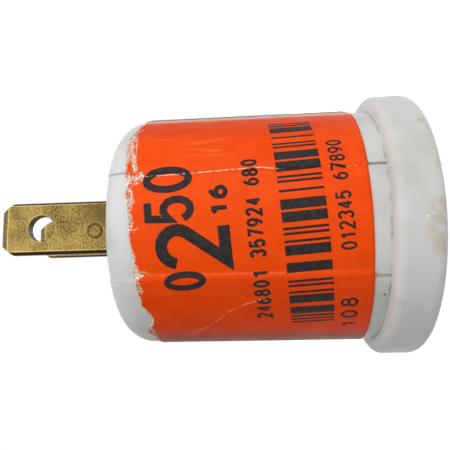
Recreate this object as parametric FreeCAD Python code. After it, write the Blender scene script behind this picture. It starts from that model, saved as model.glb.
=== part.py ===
import FreeCAD, Part
import math
import os

# A plug-in adapter that turns a two-blade outlet into a medium screw lamp socket.
# Millimetres. The open rim of the socket stands at z = 0 and the blades point up along +Z.
# The wide neutral blade is on the -Y side, which is also the side that carries the label.

V = FreeCAD.Vector

# A figure's width in the unit box that its strokes are drawn in
FIGURE_WIDTH = 0.6

# Housing, outside
housing_height = 44.3
collar_radius = 19.9
collar_height = 6.4
collar_shoulder_round = 1.25
rim_round = 1.65
body_radius_at_collar = 17.65
body_radius_at_end = 17.5
end_round = 4.8

# The panel and the label face this many degrees away from the blades' front, towards -X
front_turn = -7.4

# Shallow panel moulded into the front of the body
panel_angle = 1.9
panel_half_angle = 24.4
panel_depth = 0.3

# Housing, inside
mouth_radius = 14.7
mouth_depth = 2.2
mouth_lead = 0.6
cavity_radius = 14.1
cavity_round = 1.5
end_wall = 3.2
guide_wall = 1.4
guide_relief = 1.0
barrier_wall = 1.4
boss_radius = 2.7
rest_pad_inner = 10.5
pilot_depth = 8.0

# Levels of the contact stack, measured from the rim
seat_height = 28.4
disc_thickness = 0.8
disc_clearance = 0.3

# Blades
blade_spacing = 12.7
blade_thickness = 1.52
neutral_width = 7.94
line_width = 6.35
neutral_reach = 17.85
line_reach = 17.4
blade_bend_inner = 0.8
blade_hole_radius = 1.98
blade_hole_above_housing = 11.7
tip_chamfer_along = 1.8
tip_chamfer_across = 1.35
tip_bevel_length = 0.9
tip_bevel_depth = 0.38
coined_edge = 0.32
coined_start = 0.6
stamp_above_housing = 3.4
stamp_across = -0.6
stamp_ring_radius = 1.1
stamp_groove_radius = 0.3
stamp_depth = 0.12
slot_clearance = 0.08
line_foot_end = -1.2
foot_margin = 0.5

# Screw shell for a medium lamp cap
shell_crest_radius = 12.55
shell_wall = 0.35
thread_depth = 0.8
thread_chord = 2.6
thread_pitch = 3.63
thread_start = 5.6
thread_turns = 4.2
shell_mouth = 2.6
shell_lip_radius = 13.9
shell_floor_thickness = 0.4
shell_floor_hole_radius = 8.0

# Centre contact
contact_width = 4.4
contact_thickness = 0.4
contact_base_start = -0.6
contact_base_end = 5.0
contact_bend_radius = 1.4
contact_slope = 30.0
contact_tip_radius = 2.0
contact_tip_turn = 60.0
contact_tip_run = 0.8
contact_slot_margin = 0.8

# Fasteners
screw_offset = 10.1
screw_shank_radius = 1.1
screw_length = 7.0
screw_head_radius = 1.9
screw_head_height = 1.3
screw_head_round = 0.45
screw_slot_width = 0.6
screw_slot_depth = 0.6
screw_point_radius = 0.2
hole_clearance = 0.02
wide_hole_clearance = 0.2
rivet_y = 2.2
rivet_shank_radius = 0.9
rivet_head_radius = 1.4
rivet_head_height = 0.6

# Label and its print
label_thickness = 0.16
label_bottom = 8.66
label_top = 40.6
label_start_angle = -93.5
label_lift_angle = 75.0
label_lifted_length = 5.0
label_skew = 1.0
label_behind_side = 4.0
label_edge_steps = 4
ink_thickness = 0.05
ink_crumb_volume = 0.003
print_skew = 4.0
print_middle = 24.7

# Printed rows, in the label's own axes: across the reading direction, up the figures
price_base = 2.2
price_height = 9.9
price_width = 6.0
price_left = -4.75
price_stroke = 1.56
raised_base = 6.5
raised_height = 6.6
raised_width = 3.75
raised_left = 1.35
raised_advance = 4.3
raised_stroke = 1.0
lead_base = 6.0
lead_height = 5.6
lead_width = 2.7
lead_left = -7.85
lead_stroke = 0.85
unit_base = 2.0
unit_height = 2.6
unit_width = 1.95
unit_left = 1.7
unit_advance = 2.35
unit_stroke = 0.6
name_base = -2.2
name_height = 2.2
name_width = 1.15
name_left = -13.9
name_advance = 1.38
name_stroke = 0.38
code_base = -13.7
code_height = 2.1
code_width = 1.12
code_left = -4.3
code_advance = 1.33
code_stroke = 0.31
tag_base = -13.5
tag_height = 2.3
tag_width = 1.6
tag_left = -17.3
tag_advance = 2.3
tag_stroke = 0.36
bar_length = 5.85
bar_band_top = -4.55
bar_first = -15.4
bar_band_width = 32.2
inner_bars = 22

# Straight steps to an arc of a figure, by the figure's size
price_steps = 14
raised_steps = 10
unit_steps = 8
row_steps = 6

# Torn end of the label: arc length round the body and height, chosen along the tear.
torn_edge = [
    (-27.6, 38.6), (-18.8, 38.6), (-17.6, 39.4), (-16.2, 39.5), (-15.3, 38.8), (-13.9, 38.2),
    (-12.3, 38.7), (-11.4, 39.1), (-10.6, 39.6), (-8.0, 39.7), (-5.8, 39.9), (-3.9, 39.9),
    (-1.2, 40.1), (2.8, 40.3), (4.6, 40.6), (6.3, 40.5), (7.5, 40.7), (12.0, 41.0),
    (14.6, 41.0), (17.4, 40.3), (20.1, 39.7), (23.0, 39.9), (27.7, 40.0),
]

# Values that follow from the driving sizes
blade_y = blade_spacing / 2
ceiling = housing_height - end_wall
foot_top = seat_height + blade_thickness
blade_hole_height = housing_height + blade_hole_above_housing
disc_bottom = seat_height - disc_thickness
shell_floor = disc_bottom - shell_floor_thickness
panel_reach = (body_radius_at_collar + collar_radius - collar_shoulder_round) / 2
far = 2 * collar_radius

# Cutters run this far past what they cut, and levels closer than the tolerance are the same
reach_beyond = 1.0
level_tolerance = 0.01


def box(x0, x1, y0, y1, z0, z1):
    """Return the block between two corners."""
    return Part.makeBox(x1 - x0, y1 - y0, z1 - z0, V(x0, y0, z0))


def rod(radius, z0, z1, y=0.0):
    """Return an upright round rod, on the main axis or beside it along Y."""
    return Part.makeCylinder(radius, z1 - z0, V(0, y, z0))


def extrude(corners, direction):
    """Return the prism over a closed outline of corner points."""
    outline = Part.makePolygon(corners + corners[:1])
    return Part.Face(outline).extrude(direction)


def prism_along_y(points, y0, y1):
    """Return the (x, z) outline carried from y0 to y1."""
    return extrude([V(x, y0, z) for x, z in points], V(0, y1 - y0, 0))


def prism_along_x(points, x0, x1):
    """Return the (y, z) outline carried from x0 to x1."""
    return extrude([V(x0, y, z) for y, z in points], V(x1 - x0, 0, 0))


def turned(shape, angle):
    """Return the shape turned about the main axis, from -Y towards +X."""
    copy = shape.copy()
    copy.rotate(V(0, 0, 0), V(0, 0, 1), angle)
    return copy


def arc_about(centre_r, centre_z, radius, start, end):
    """Return an arc in the XZ plane between two angles, given in degrees."""
    angles = [start, (start + end) / 2, end]
    points = []
    for angle in angles:
        turn = math.radians(angle)
        points.append(V(centre_r + radius * math.cos(turn), 0, centre_z + radius * math.sin(turn)))
    return Part.Arc(*points).toShape()


def line(r0, z0, r1, z1):
    """Return a straight edge in the XZ plane."""
    return Part.makeLine(V(r0, 0, z0), V(r1, 0, z1))


def revolve(edges):
    """Return the solid that a closed half section sweeps about the main axis."""
    return Part.Face(Part.Wire(edges)).revolve(V(0, 0, 0), V(0, 0, 1), 360)


def body_radius(z):
    """Return the radius of the slightly tapered body at a height."""
    straight = housing_height - end_round - collar_height
    share = (z - collar_height) / straight
    return body_radius_at_collar + share * (body_radius_at_end - body_radius_at_collar)


def taper_cone(offset, z0, z1):
    """Return the solid cone of the body's side, moved out by an offset."""
    return Part.makeCone(body_radius(z0) + offset, body_radius(z1) + offset, z1 - z0, V(0, 0, z0))


def panel_block(offset, z0, z1):
    """Return the upright block that the front panel lies in, for a skin at the given offset."""
    radius = body_radius_at_collar
    side = []
    for angle in (panel_angle - panel_half_angle, panel_angle + panel_half_angle):
        side.append(radius * math.sin(math.radians(angle)))
    x0 = side[0] + offset
    x1 = side[1] - offset
    return box(x0, x1, -far, 0, z0, z1).common(rod(panel_reach, z0, z1))


def panel_cutter(offset, z0, z1):
    """Return what the front panel takes off the body's side, for a skin at the given offset."""
    cone = taper_cone(offset - panel_depth, z0 - reach_beyond, z1 + reach_beyond)
    return panel_block(offset, z0, z1).cut(cone)


def body_cover(offset, z0, z1):
    """Return the body's side with its panel, as a solid moved out by an offset."""
    cone = taper_cone(offset, z0, z1)
    return cone.cut(panel_cutter(offset, z0 - reach_beyond, z1 + reach_beyond))


def skin(inner, outer):
    """Return the thin skin between two offsets over the labelled stretch."""
    z0 = label_bottom - 2 * reach_beyond
    z1 = label_top + 2 * reach_beyond
    return body_cover(outer, z0, z1).cut(body_cover(inner, z0 - reach_beyond, z1 + reach_beyond))


def bent_strip(start, heading, moves, thickness, width):
    """Return a strip bent in the YZ plane and centred on x = 0.

    A move is ("run", length) or ("bend", middle radius, turn in degrees, left positive).
    """
    half = thickness / 2
    y, z = start
    turn = math.radians(heading)
    left = []
    right = []

    def side_point(py, pz, angle, distance):
        return V(-width / 2, py - distance * math.sin(angle), pz + distance * math.cos(angle))

    for move in moves:
        if move[0] == "run":
            end_y = y + move[1] * math.cos(turn)
            end_z = z + move[1] * math.sin(turn)
            for edges, distance in ((left, half), (right, -half)):
                first = side_point(y, z, turn, distance)
                last = side_point(end_y, end_z, turn, distance)
                edges.append(Part.makeLine(first, last))
            y, z = end_y, end_z
            continue
        radius = math.copysign(move[1], move[2])
        centre_y = y - radius * math.sin(turn)
        centre_z = z + radius * math.cos(turn)
        angles = [turn, turn + math.radians(move[2]) / 2, turn + math.radians(move[2])]
        for edges, distance in ((left, half), (right, -half)):
            points = [side_point(centre_y, centre_z, angle, distance - radius) for angle in angles]
            edges.append(Part.Arc(*points).toShape())
        turn = angles[-1]
        y = centre_y + radius * math.sin(turn)
        z = centre_z - radius * math.cos(turn)

    start_cap = Part.makeLine(right[0].Vertexes[0].Point, left[0].Vertexes[0].Point)
    end_cap = Part.makeLine(left[-1].Vertexes[-1].Point, right[-1].Vertexes[-1].Point)
    loop = Part.__sortEdges__([start_cap] + left + [end_cap] + right)
    return Part.Face(Part.Wire(loop)).extrude(V(width, 0, 0))


def outside_form(inset):
    """Return the collar, tapered body and rounded end, with the body drawn in by an inset."""
    shoulder_r = collar_radius - collar_shoulder_round
    shoulder_z = collar_height - collar_shoulder_round
    rim_r = collar_radius - rim_round
    end_z = housing_height - end_round
    low_r = body_radius_at_collar - inset
    high_r = body_radius_at_end - inset
    end_r = high_r - end_round
    edges = [
        line(0, 0, rim_r, 0),
        arc_about(rim_r, rim_round, rim_round, -90, 0),
        line(collar_radius, rim_round, collar_radius, shoulder_z),
        arc_about(shoulder_r, shoulder_z, collar_shoulder_round, 0, 90),
        line(shoulder_r, collar_height, low_r, collar_height),
        line(low_r, collar_height, high_r, end_z),
        arc_about(end_r, end_z, end_round, 0, 90),
        line(end_r, housing_height, 0, housing_height),
        line(0, housing_height, 0, 0),
    ]
    return revolve(edges)


def housing_outside():
    """Return the moulded outer form, with the front panel that fades out over the rounded end."""
    panel = panel_block(0.0, collar_height, housing_height + reach_beyond)
    panel = panel.cut(outside_form(panel_depth))
    return outside_form(0.0).cut(turned(panel, front_turn))


def edges_at(shape, level):
    """Return the edges of a shape that are centred at a height."""
    return [edge for edge in shape.Edges if abs(edge.CenterOfMass.z - level) < level_tolerance]


def housing_cavity():
    """Return the round space inside: mouth, shell chamber and contact chamber."""
    chamber = rod(cavity_radius, -reach_beyond, ceiling)
    chamber = chamber.makeFillet(cavity_round, edges_at(chamber, ceiling))
    mouth = rod(mouth_radius, -reach_beyond, mouth_depth)
    lead = Part.makeCone(mouth_radius + mouth_lead, mouth_radius, mouth_lead)
    return chamber.fuse([mouth, lead])


def bend_relief(centre_y, width):
    """Return the room that the inside of a blade's bend needs in the ribs over its foot."""
    half_x = width / 2 + slot_clearance + guide_wall
    relief_y = centre_y - blade_thickness / 2
    relief = [
        (relief_y - guide_relief, foot_top),
        (relief_y + blade_thickness / 2, foot_top),
        (relief_y + blade_thickness / 2, foot_top + guide_relief),
        (relief_y - guide_relief, foot_top + guide_relief),
    ]
    return prism_along_x(relief, -half_x, half_x)


def blade_guide(centre_y, width):
    """Return the square tower that steadies one blade inside the housing."""
    half_x = width / 2 + slot_clearance + guide_wall
    half_y = blade_thickness / 2 + slot_clearance + guide_wall
    top = ceiling + reach_beyond
    tower = box(-half_x, half_x, centre_y - half_y, centre_y + half_y, foot_top, top)
    return tower.cut(bend_relief(centre_y, width))


def housing_inside():
    """Return the ribs, bosses and guides that stand in the contact chamber."""
    top = ceiling + reach_beyond
    barrier = box(-far, far, -barrier_wall / 2, barrier_wall / 2, foot_top, top)
    parts = [barrier]
    for side in (-1, 1):
        near = side * rest_pad_inner
        x0 = min(near, side * far)
        x1 = max(near, side * far)
        parts.append(box(x0, x1, -barrier_wall / 2, barrier_wall / 2, seat_height, top))
    parts.append(blade_guide(-blade_y, neutral_width))
    parts.append(blade_guide(blade_y, line_width))
    neutral_boss = rod(boss_radius, foot_top, top, y=-screw_offset)
    parts.append(neutral_boss.cut(bend_relief(-blade_y, neutral_width)))
    parts.append(rod(boss_radius, seat_height, top, y=screw_offset))
    return parts[0].fuse(parts[1:])


def make_housing():
    """Return the one-piece moulded housing."""
    hollow = housing_cavity().cut(housing_inside())
    shape = housing_outside().cut(hollow)
    cuts = []
    for centre_y, width in ((-blade_y, neutral_width), (blade_y, line_width)):
        half_x = width / 2 + slot_clearance
        half_y = blade_thickness / 2 + slot_clearance
        top = housing_height + reach_beyond
        cuts.append(box(-half_x, half_x, centre_y - half_y, centre_y + half_y, seat_height, top))
    for centre_y in (-screw_offset, screw_offset):
        radius = screw_shank_radius + hole_clearance
        cuts.append(rod(radius, seat_height, seat_height + pilot_depth, y=centre_y))
    return shape.cut(cuts).removeSplitter()


def make_blade(centre_y, width, blade_tip, foot_end):
    """Return one flat plug blade with the foot that holds it inside the housing."""
    bend_radius = blade_bend_inner + blade_thickness / 2
    bend_end = seat_height + blade_thickness / 2 + bend_radius
    moves = [
        ("run", centre_y - bend_radius - foot_end),
        ("bend", bend_radius, 90),
        ("run", blade_tip - bend_end),
    ]
    start = (foot_end, seat_height + blade_thickness / 2)
    strip = bent_strip(start, 0, moves, blade_thickness, width)
    half_x = width / 2
    half_y = blade_thickness / 2
    cuts = []
    for side in (-1, 1):
        corner = [
            (side * half_x, blade_tip - tip_chamfer_along),
            (side * (half_x - tip_chamfer_across), blade_tip),
            (side * (half_x + reach_beyond), blade_tip + reach_beyond),
            (side * (half_x + reach_beyond), blade_tip - tip_chamfer_along),
        ]
        cuts.append(prism_along_y(corner, centre_y - blade_thickness, centre_y + blade_thickness))
        bevel = [
            (centre_y + side * half_y, blade_tip - tip_bevel_length),
            (centre_y + side * (half_y - tip_bevel_depth), blade_tip),
            (centre_y + side * (half_y + reach_beyond), blade_tip + reach_beyond),
            (centre_y + side * (half_y + reach_beyond), blade_tip - tip_bevel_length),
        ]
        cuts.append(prism_along_x(bevel, -half_x - reach_beyond, half_x + reach_beyond))
        for face in (-1, 1):
            edge_x = side * half_x
            edge_y = centre_y + face * half_y
            base = housing_height - coined_start
            corners = [
                V(edge_x - side * coined_edge, edge_y, base),
                V(edge_x, edge_y - face * coined_edge, base),
                V(edge_x + side * reach_beyond, edge_y - face * coined_edge, base),
                V(edge_x + side * reach_beyond, edge_y + face * reach_beyond, base),
                V(edge_x - side * coined_edge, edge_y + face * reach_beyond, base),
            ]
            cuts.append(extrude(corners, V(0, 0, blade_tip + reach_beyond - base)))
    hole_start = V(0, centre_y - blade_thickness, blade_hole_height)
    cuts.append(Part.makeCylinder(blade_hole_radius, 2 * blade_thickness, hole_start, V(0, 1, 0)))
    return strip.cut(cuts)


def make_neutral_blade():
    """Return the wide blade, with its stamped ring and its foot turned outwards."""
    foot_reach = cavity_radius - foot_margin
    blade_tip = housing_height + neutral_reach
    blade = make_blade(-blade_y, neutral_width, blade_tip, -foot_reach)
    blade = blade.common(rod(foot_reach, 0, blade_tip + reach_beyond))
    hole_radius = screw_shank_radius + hole_clearance
    hole = rod(hole_radius, 0, foot_top + reach_beyond, y=-screw_offset)
    groove_y = -blade_y - blade_thickness / 2 + stamp_depth - stamp_groove_radius
    groove_centre = V(stamp_across, groove_y, housing_height + stamp_above_housing)
    groove = Part.makeTorus(stamp_ring_radius, stamp_groove_radius, groove_centre, V(0, 1, 0))
    return blade.cut([hole, groove])


def make_line_blade():
    """Return the narrow blade, whose foot turns inwards to carry the centre contact."""
    blade = make_blade(blade_y, line_width, housing_height + line_reach, line_foot_end)
    hole_radius = rivet_shank_radius + hole_clearance
    return blade.cut(rod(hole_radius, 0, foot_top + reach_beyond, y=rivet_y))


def threaded_core(core_radius, coil_radius, coil_centre, lead_in):
    """Return a round core with the rolled thread standing out of it."""
    core = rod(core_radius, shell_mouth - reach_beyond, shell_floor + reach_beyond)
    height = thread_turns * thread_pitch
    lead_turn = math.degrees(lead_in / coil_centre)
    extra = 2 * lead_in / (2 * math.pi * coil_centre) * thread_pitch
    helix = Part.makeHelix(thread_pitch, height + extra, coil_centre)
    section = Part.Circle(V(coil_centre, 0, 0), V(0, 1, 0), coil_radius).toShape()
    path = Part.Wire(helix.Edges)
    coil = path.makePipeShell([Part.Wire(section)], True, True)
    coil.rotate(V(0, 0, 0), V(0, 0, 1), -lead_turn)
    coil.translate(V(0, 0, thread_start - extra / 2))
    return core.fuse(coil)


def make_screw_shell():
    """Return the thin screw shell, with its rolled thread, lip and perforated floor."""
    half_chord = thread_chord / 2
    inner_coil = (half_chord ** 2 + thread_depth ** 2) / (2 * thread_depth)
    coil_centre = shell_crest_radius + thread_depth - inner_coil
    outside = threaded_core(
        shell_crest_radius + shell_wall, inner_coil + shell_wall, coil_centre, shell_wall)
    inside = threaded_core(shell_crest_radius, inner_coil, coil_centre, 0.0)
    tube = outside.cut(inside)
    tube = tube.common(rod(far, shell_mouth, shell_floor))
    floor_radius = shell_crest_radius + shell_wall
    floor = rod(floor_radius, shell_floor, disc_bottom)
    lip = rod(shell_lip_radius, shell_mouth, shell_mouth + shell_wall)
    lip = lip.cut(rod(shell_crest_radius, 0, shell_floor))
    shape = tube.fuse([floor, lip])
    z0 = shell_floor - reach_beyond
    z1 = disc_bottom + reach_beyond
    cuts = [rod(shell_floor_hole_radius, z0, z1)]
    for centre_y in (-screw_offset, screw_offset):
        cuts.append(rod(screw_shank_radius + wide_hole_clearance, z0, z1, y=centre_y))
    return shape.cut(cuts).removeSplitter()


def make_insulating_disc():
    """Return the fibre disc between the shell's floor and the blades' feet."""
    disc = rod(cavity_radius - disc_clearance, disc_bottom, seat_height)
    half_x = contact_width / 2 + contact_slot_margin
    y0 = contact_base_start - contact_slot_margin
    y1 = contact_base_end + contact_bend_radius + contact_thickness / 2 + contact_slot_margin
    z0 = disc_bottom - reach_beyond
    z1 = seat_height + reach_beyond
    cuts = [box(-half_x, half_x, y0, y1, z0, z1)]
    for centre_y in (-screw_offset, screw_offset):
        cuts.append(rod(screw_shank_radius + wide_hole_clearance, z0, z1, y=centre_y))
    return disc.cut(cuts)


def make_centre_contact():
    """Return the folded spring strip whose domed end meets the lamp's tip."""
    slope = math.radians(contact_slope)
    bend_out = contact_base_end + contact_bend_radius * math.sin(slope)
    tongue_end = contact_tip_radius * math.sin(slope)
    tongue = (bend_out - tongue_end) / math.cos(slope)
    moves = [
        ("run", contact_base_end - contact_base_start),
        ("bend", contact_bend_radius, contact_slope - 180),
        ("run", tongue),
        ("bend", contact_tip_radius, -contact_tip_turn),
        ("run", contact_tip_run),
    ]
    start = (contact_base_start, seat_height - contact_thickness / 2)
    strip = bent_strip(start, 0, moves, contact_thickness, contact_width)
    z0 = seat_height - 1.5 * contact_thickness
    z1 = seat_height + contact_thickness / 2
    return strip.cut(rod(rivet_shank_radius + hole_clearance, z0, z1, y=rivet_y))


def make_contact_rivet():
    """Return the rivet that joins the centre contact to the line blade's foot."""
    base = seat_height - contact_thickness
    shank = rod(rivet_shank_radius, base, foot_top, y=rivet_y)
    heads = []
    for z0 in (base - rivet_head_height, foot_top):
        heads.append(rod(rivet_head_radius, z0, z0 + rivet_head_height, y=rivet_y))
    return shank.fuse(heads)


def make_screw(centre_y):
    """Return a slotted screw that clamps the shell and the disc to a boss."""
    head_base = shell_floor - screw_head_height
    head = rod(screw_head_radius, head_base, shell_floor, y=centre_y)
    head = head.makeFillet(screw_head_round, edges_at(head, head_base))
    half = screw_slot_width / 2
    slot_x = screw_head_radius + reach_beyond
    slot_z0 = head_base - reach_beyond
    slot_z1 = head_base + screw_slot_depth
    slot = box(-slot_x, slot_x, centre_y - half, centre_y + half, slot_z0, slot_z1)
    shank_end = seat_height + screw_length - screw_shank_radius
    shank = rod(screw_shank_radius, shell_floor, shank_end, y=centre_y)
    point = Part.makeCone(
        screw_shank_radius, screw_point_radius, screw_shank_radius, V(0, centre_y, shank_end))
    return head.cut(slot).fuse([shank, point]).removeSplitter()


def make_neutral_screw():
    """Return the screw that also ties the shell to the neutral blade's foot."""
    return make_screw(-screw_offset)


def make_clamp_screw():
    """Return the screw on the other side, which only clamps."""
    return make_screw(screw_offset)


def front_x(arc_length, radius):
    """Return the x of a point that lies an arc length round from the front line."""
    turn = max(-math.pi / 2, min(math.pi / 2, arc_length / radius))
    return radius * math.sin(turn)


def label_field():
    """Return the prism that trims the label to its cut edge and its torn edge."""
    radius = body_radius_at_end + label_thickness
    slope = math.tan(math.radians(label_skew))
    quarter = radius * math.pi / 2
    points = [(-far, label_bottom - slope * quarter)]
    for step in range(-label_edge_steps, label_edge_steps + 1):
        arc_length = quarter * step / label_edge_steps
        points.append((front_x(arc_length, radius), label_bottom + slope * arc_length))
    points.append((far, label_bottom + slope * quarter))
    points.append((far, torn_edge[-1][1]))
    for arc_length, height in reversed(torn_edge):
        points.append((front_x(arc_length, radius), height))
    points.append((-far, torn_edge[0][1]))
    cleaned = []
    for point in points:
        if not cleaned or math.dist(point, cleaned[-1]) > level_tolerance:
            cleaned.append(point)
    return prism_along_y(cleaned, -far, label_behind_side)


def make_price_label():
    """Return the paper label, pressed into the panel and standing off at its upper end."""
    z0 = label_bottom - reach_beyond
    z1 = label_top + reach_beyond
    section = Part.makePolygon([
        V(0, 0, z0), V(0, -far, z0), V(0, -far, z1), V(0, 0, z1), V(0, 0, z0)])
    sweep = label_lift_angle - label_start_angle
    wedge = Part.Face(section).revolve(V(0, 0, 0), V(0, 0, 1), sweep)
    wedge = turned(wedge, label_start_angle)
    wrapped = skin(0.0, label_thickness).common(wedge)
    lifted = [
        (-body_radius(z0), z0),
        (-body_radius(z1), z1),
        (-body_radius(z1) - label_thickness, z1),
        (-body_radius(z0) - label_thickness, z0),
    ]
    flap = turned(prism_along_x(lifted, 0.0, label_lifted_length), label_lift_angle)
    label = wrapped.fuse(flap).common(label_field()).removeSplitter()
    return turned(label, front_turn)


def place_on_label(across, up):
    """Return the arc length and height of a point of the print, whose lines run slightly askew."""
    turn = math.radians(print_skew)
    arc_length = across * math.cos(turn) - up * math.sin(turn)
    height = print_middle + across * math.sin(turn) + up * math.cos(turn)
    return arc_length, height


def wrapped_prism(points):
    """Return a prism that stands through the label's skin over an outline of the print."""
    flat = [place_on_label(across, up) for across, up in points]
    radii = [body_radius(height) + label_thickness for arc_length, height in flat]
    middle = sum(arc_length for arc_length, height in flat) / len(flat)
    front = max(radii) + reach_beyond
    back = min(radii) - 2 * reach_beyond
    corners = []
    for (arc_length, height), radius in zip(flat, radii):
        corners.append(V(front_x(arc_length - middle, radius), -front, height))
    turn = math.degrees(middle * len(radii) / sum(radii))
    return turned(extrude(corners, V(0, front - back, 0)), turn)


def arc_points(centre, radii, start, end, count):
    """Return points along an elliptic arc."""
    points = []
    for step in range(count + 1):
        turn = math.radians(start + (end - start) * step / count)
        points.append((centre[0] + radii[0] * math.cos(turn), centre[1] + radii[1] * math.sin(turn)))
    return points


def digit_strokes(digit, count):
    """Return the strokes of a figure in a box one unit high and FIGURE_WIDTH wide."""
    w = FIGURE_WIDTH
    m = w / 2
    top = (m, 0.74)
    low = (m, 0.29)
    upper = (m, 0.26)
    lower = (m, 0.29)
    strokes = {
        "0": [arc_points((m, 0.5), (m, 0.5), 0, 360, 2 * count)],
        "1": [[(0.38, 0.0), (0.38, 1.0)], [(0.38, 0.94), (0.1, 0.74)]],
        "2": [arc_points(top, upper, 170, -35, count) + [(0.0, 0.0), (w, 0.0)]],
        "3": [
            arc_points(top, upper, 160, -80, count),
            arc_points(low, lower, 80, -160, count),
        ],
        "4": [
            [(0.43, 0.0), (0.43, 1.0)],
            [(0.43, 0.97), (0.01, 0.27)],
            [(0.0, 0.27), (w, 0.27)],
        ],
        "5": [
            [(0.56, 1.0), (0.09, 1.0), (0.04, 0.52)]
            + arc_points((m, 0.32), (m, 0.32), 125, -155, count),
        ],
        "6": [
            arc_points((m, 0.31), (m, 0.31), 0, 360, 2 * count),
            arc_points((0.62, 0.32), (0.62, 0.68), 178, 104, count),
        ],
        "7": [[(0.0, 1.0), (w, 1.0), (0.2, 0.0)]],
        "8": [
            arc_points((m, 0.76), (0.26, 0.24), 0, 360, 2 * count),
            arc_points((m, 0.27), (m, 0.27), 0, 360, 2 * count),
        ],
        "9": [
            arc_points((m, 0.69), (m, 0.31), 0, 360, 2 * count),
            arc_points((-0.02, 0.68), (0.62, 0.68), -2, -76, count),
        ],
    }
    return strokes[digit]


def thick_stroke(points, half_width):
    """Return the outlines of a stroke: one for an open stroke, two for a closed ring."""
    closed = math.dist(points[0], points[-1]) < level_tolerance
    if closed:
        points = points[:-1]
    count = len(points)
    sides = ([], [])
    for index, (x, y) in enumerate(points):
        before = points[index - 1] if closed or index > 0 else None
        after = points[(index + 1) % count] if closed or index < count - 1 else None
        directions = []
        if before:
            length = math.dist(before, (x, y))
            directions.append(((x - before[0]) / length, (y - before[1]) / length))
        if after:
            length = math.dist(after, (x, y))
            directions.append(((after[0] - x) / length, (after[1] - y) / length))
        nx = -sum(d[1] for d in directions) / len(directions)
        ny = sum(d[0] for d in directions) / len(directions)
        scale = half_width / (nx * nx + ny * ny)
        sides[0].append((x + nx * scale, y + ny * scale))
        sides[1].append((x - nx * scale, y - ny * scale))
    if closed:
        return [sides[0], sides[1]]
    return [sides[0] + sides[1][::-1]]


def figure(digit, left, base, width, height, stroke_width, count):
    """Return one printed figure as a prism through the label's skin."""
    pieces = []
    half_stroke = stroke_width / 2
    across_scale = (width - stroke_width) / FIGURE_WIDTH
    up_scale = height - stroke_width
    for stroke in digit_strokes(digit, count):
        scaled = []
        for x, y in stroke:
            across = left + half_stroke + across_scale * x
            scaled.append((across, base + half_stroke + up_scale * y))
        outlines = [wrapped_prism(outline) for outline in thick_stroke(scaled, half_stroke)]
        if len(outlines) == 2:
            outlines.sort(key=lambda prism: abs(prism.Volume))
            pieces.append(outlines[1].cut(outlines[0]))
        else:
            pieces.append(outlines[0])
    if len(pieces) == 1:
        return pieces[0]
    return pieces[0].fuse(pieces[1:])


def figure_row(text, left, base, width, height, stroke_width, advance, count):
    """Return a row of printed figures, where a space leaves a gap."""
    row = []
    for index, digit in enumerate(text):
        if digit != " ":
            start = left + advance * index
            row.append(figure(digit, start, base, width, height, stroke_width, count))
    return row


def inked(prisms):
    """Return the printed skin under a list of prisms, without crumbs cut off by the panel's step."""
    ink = skin(label_thickness, label_thickness + ink_thickness)
    solids = []
    for prism in prisms:
        for solid in ink.common(prism).Solids:
            if solid.Volume > ink_crumb_volume:
                solids.append(solid)
    return turned(Part.makeCompound(solids), front_turn)


def make_price_figures():
    """Return the large figures of the price: a small lead figure, a tall one, two raised ones."""
    lead = figure("0", lead_left, lead_base, lead_width, lead_height, lead_stroke, raised_steps)
    tall = figure(
        "2", price_left, price_base, price_width, price_height, price_stroke, price_steps)
    raised = figure_row(
        "50", raised_left, raised_base, raised_width, raised_height, raised_stroke,
        raised_advance, raised_steps)
    return inked([lead, tall] + raised)


def make_unit_figures():
    """Return the two small figures after the price."""
    return inked(figure_row(
        "16", unit_left, unit_base, unit_width, unit_height, unit_stroke, unit_advance,
        unit_steps))


def make_name_figures():
    """Return the row of plain numbers above the bars."""
    return inked(figure_row(
        "246801 357924 680", name_left, name_base, name_width, name_height, name_stroke,
        name_advance, row_steps))


def make_code_figures():
    """Return the row of plain numbers below the bars."""
    return inked(figure_row(
        "012345 67890", code_left, code_base, code_width, code_height, code_stroke,
        code_advance, row_steps))


def make_tag_figures():
    """Return the three plain figures in the label's corner."""
    return inked(figure_row(
        "108", tag_left, tag_base, tag_width, tag_height, tag_stroke, tag_advance,
        row_steps))


def make_label_bars():
    """Return the printed bars: two thin guards, wide and narrow bars between, two thin guards.

    The widths follow a plain rule and stand for nothing.
    """
    widths = [1, 1]
    gaps = [1, 1]
    for index in range(inner_bars):
        widths.append(1 + (index * index + 2 * index) % 5 % 4)
        gaps.append(1 + (3 * index + index * index) % 7 % 3)
    widths += [1, 1]
    gaps += [1, 0]
    unit = bar_band_width / (sum(widths) + sum(gaps))
    prisms = []
    across = bar_first
    for width, gap in zip(widths, gaps):
        end = across + width * unit
        outline = [
            (across, bar_band_top),
            (end, bar_band_top),
            (end, bar_band_top - bar_length),
            (across, bar_band_top - bar_length),
        ]
        prisms.append(wrapped_prism(outline))
        across = end + gap * unit
    return inked(prisms)


NODES = {
    "housing": make_housing,
    "neutral_blade": make_neutral_blade,
    "line_blade": make_line_blade,
    "screw_shell": make_screw_shell,
    "insulating_disc": make_insulating_disc,
    "centre_contact": make_centre_contact,
    "contact_rivet": make_contact_rivet,
    "neutral_screw": make_neutral_screw,
    "clamp_screw": make_clamp_screw,
    "price_label": make_price_label,
    "price_figures": make_price_figures,
    "unit_figures": make_unit_figures,
    "name_figures": make_name_figures,
    "label_bars": make_label_bars,
    "code_figures": make_code_figures,
    "tag_figures": make_tag_figures,
}

os.makedirs("parts", exist_ok=True)
for node, make in NODES.items():
    shape = make()
    shape.exportStep("parts/" + node + ".step")
    box_of = shape.BoundBox
    print(
        node, "solids", len(shape.Solids), "valid", shape.isValid(),
        "volume", round(shape.Volume, 2), "z", round(box_of.ZMin, 2), round(box_of.ZMax, 2))
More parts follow.
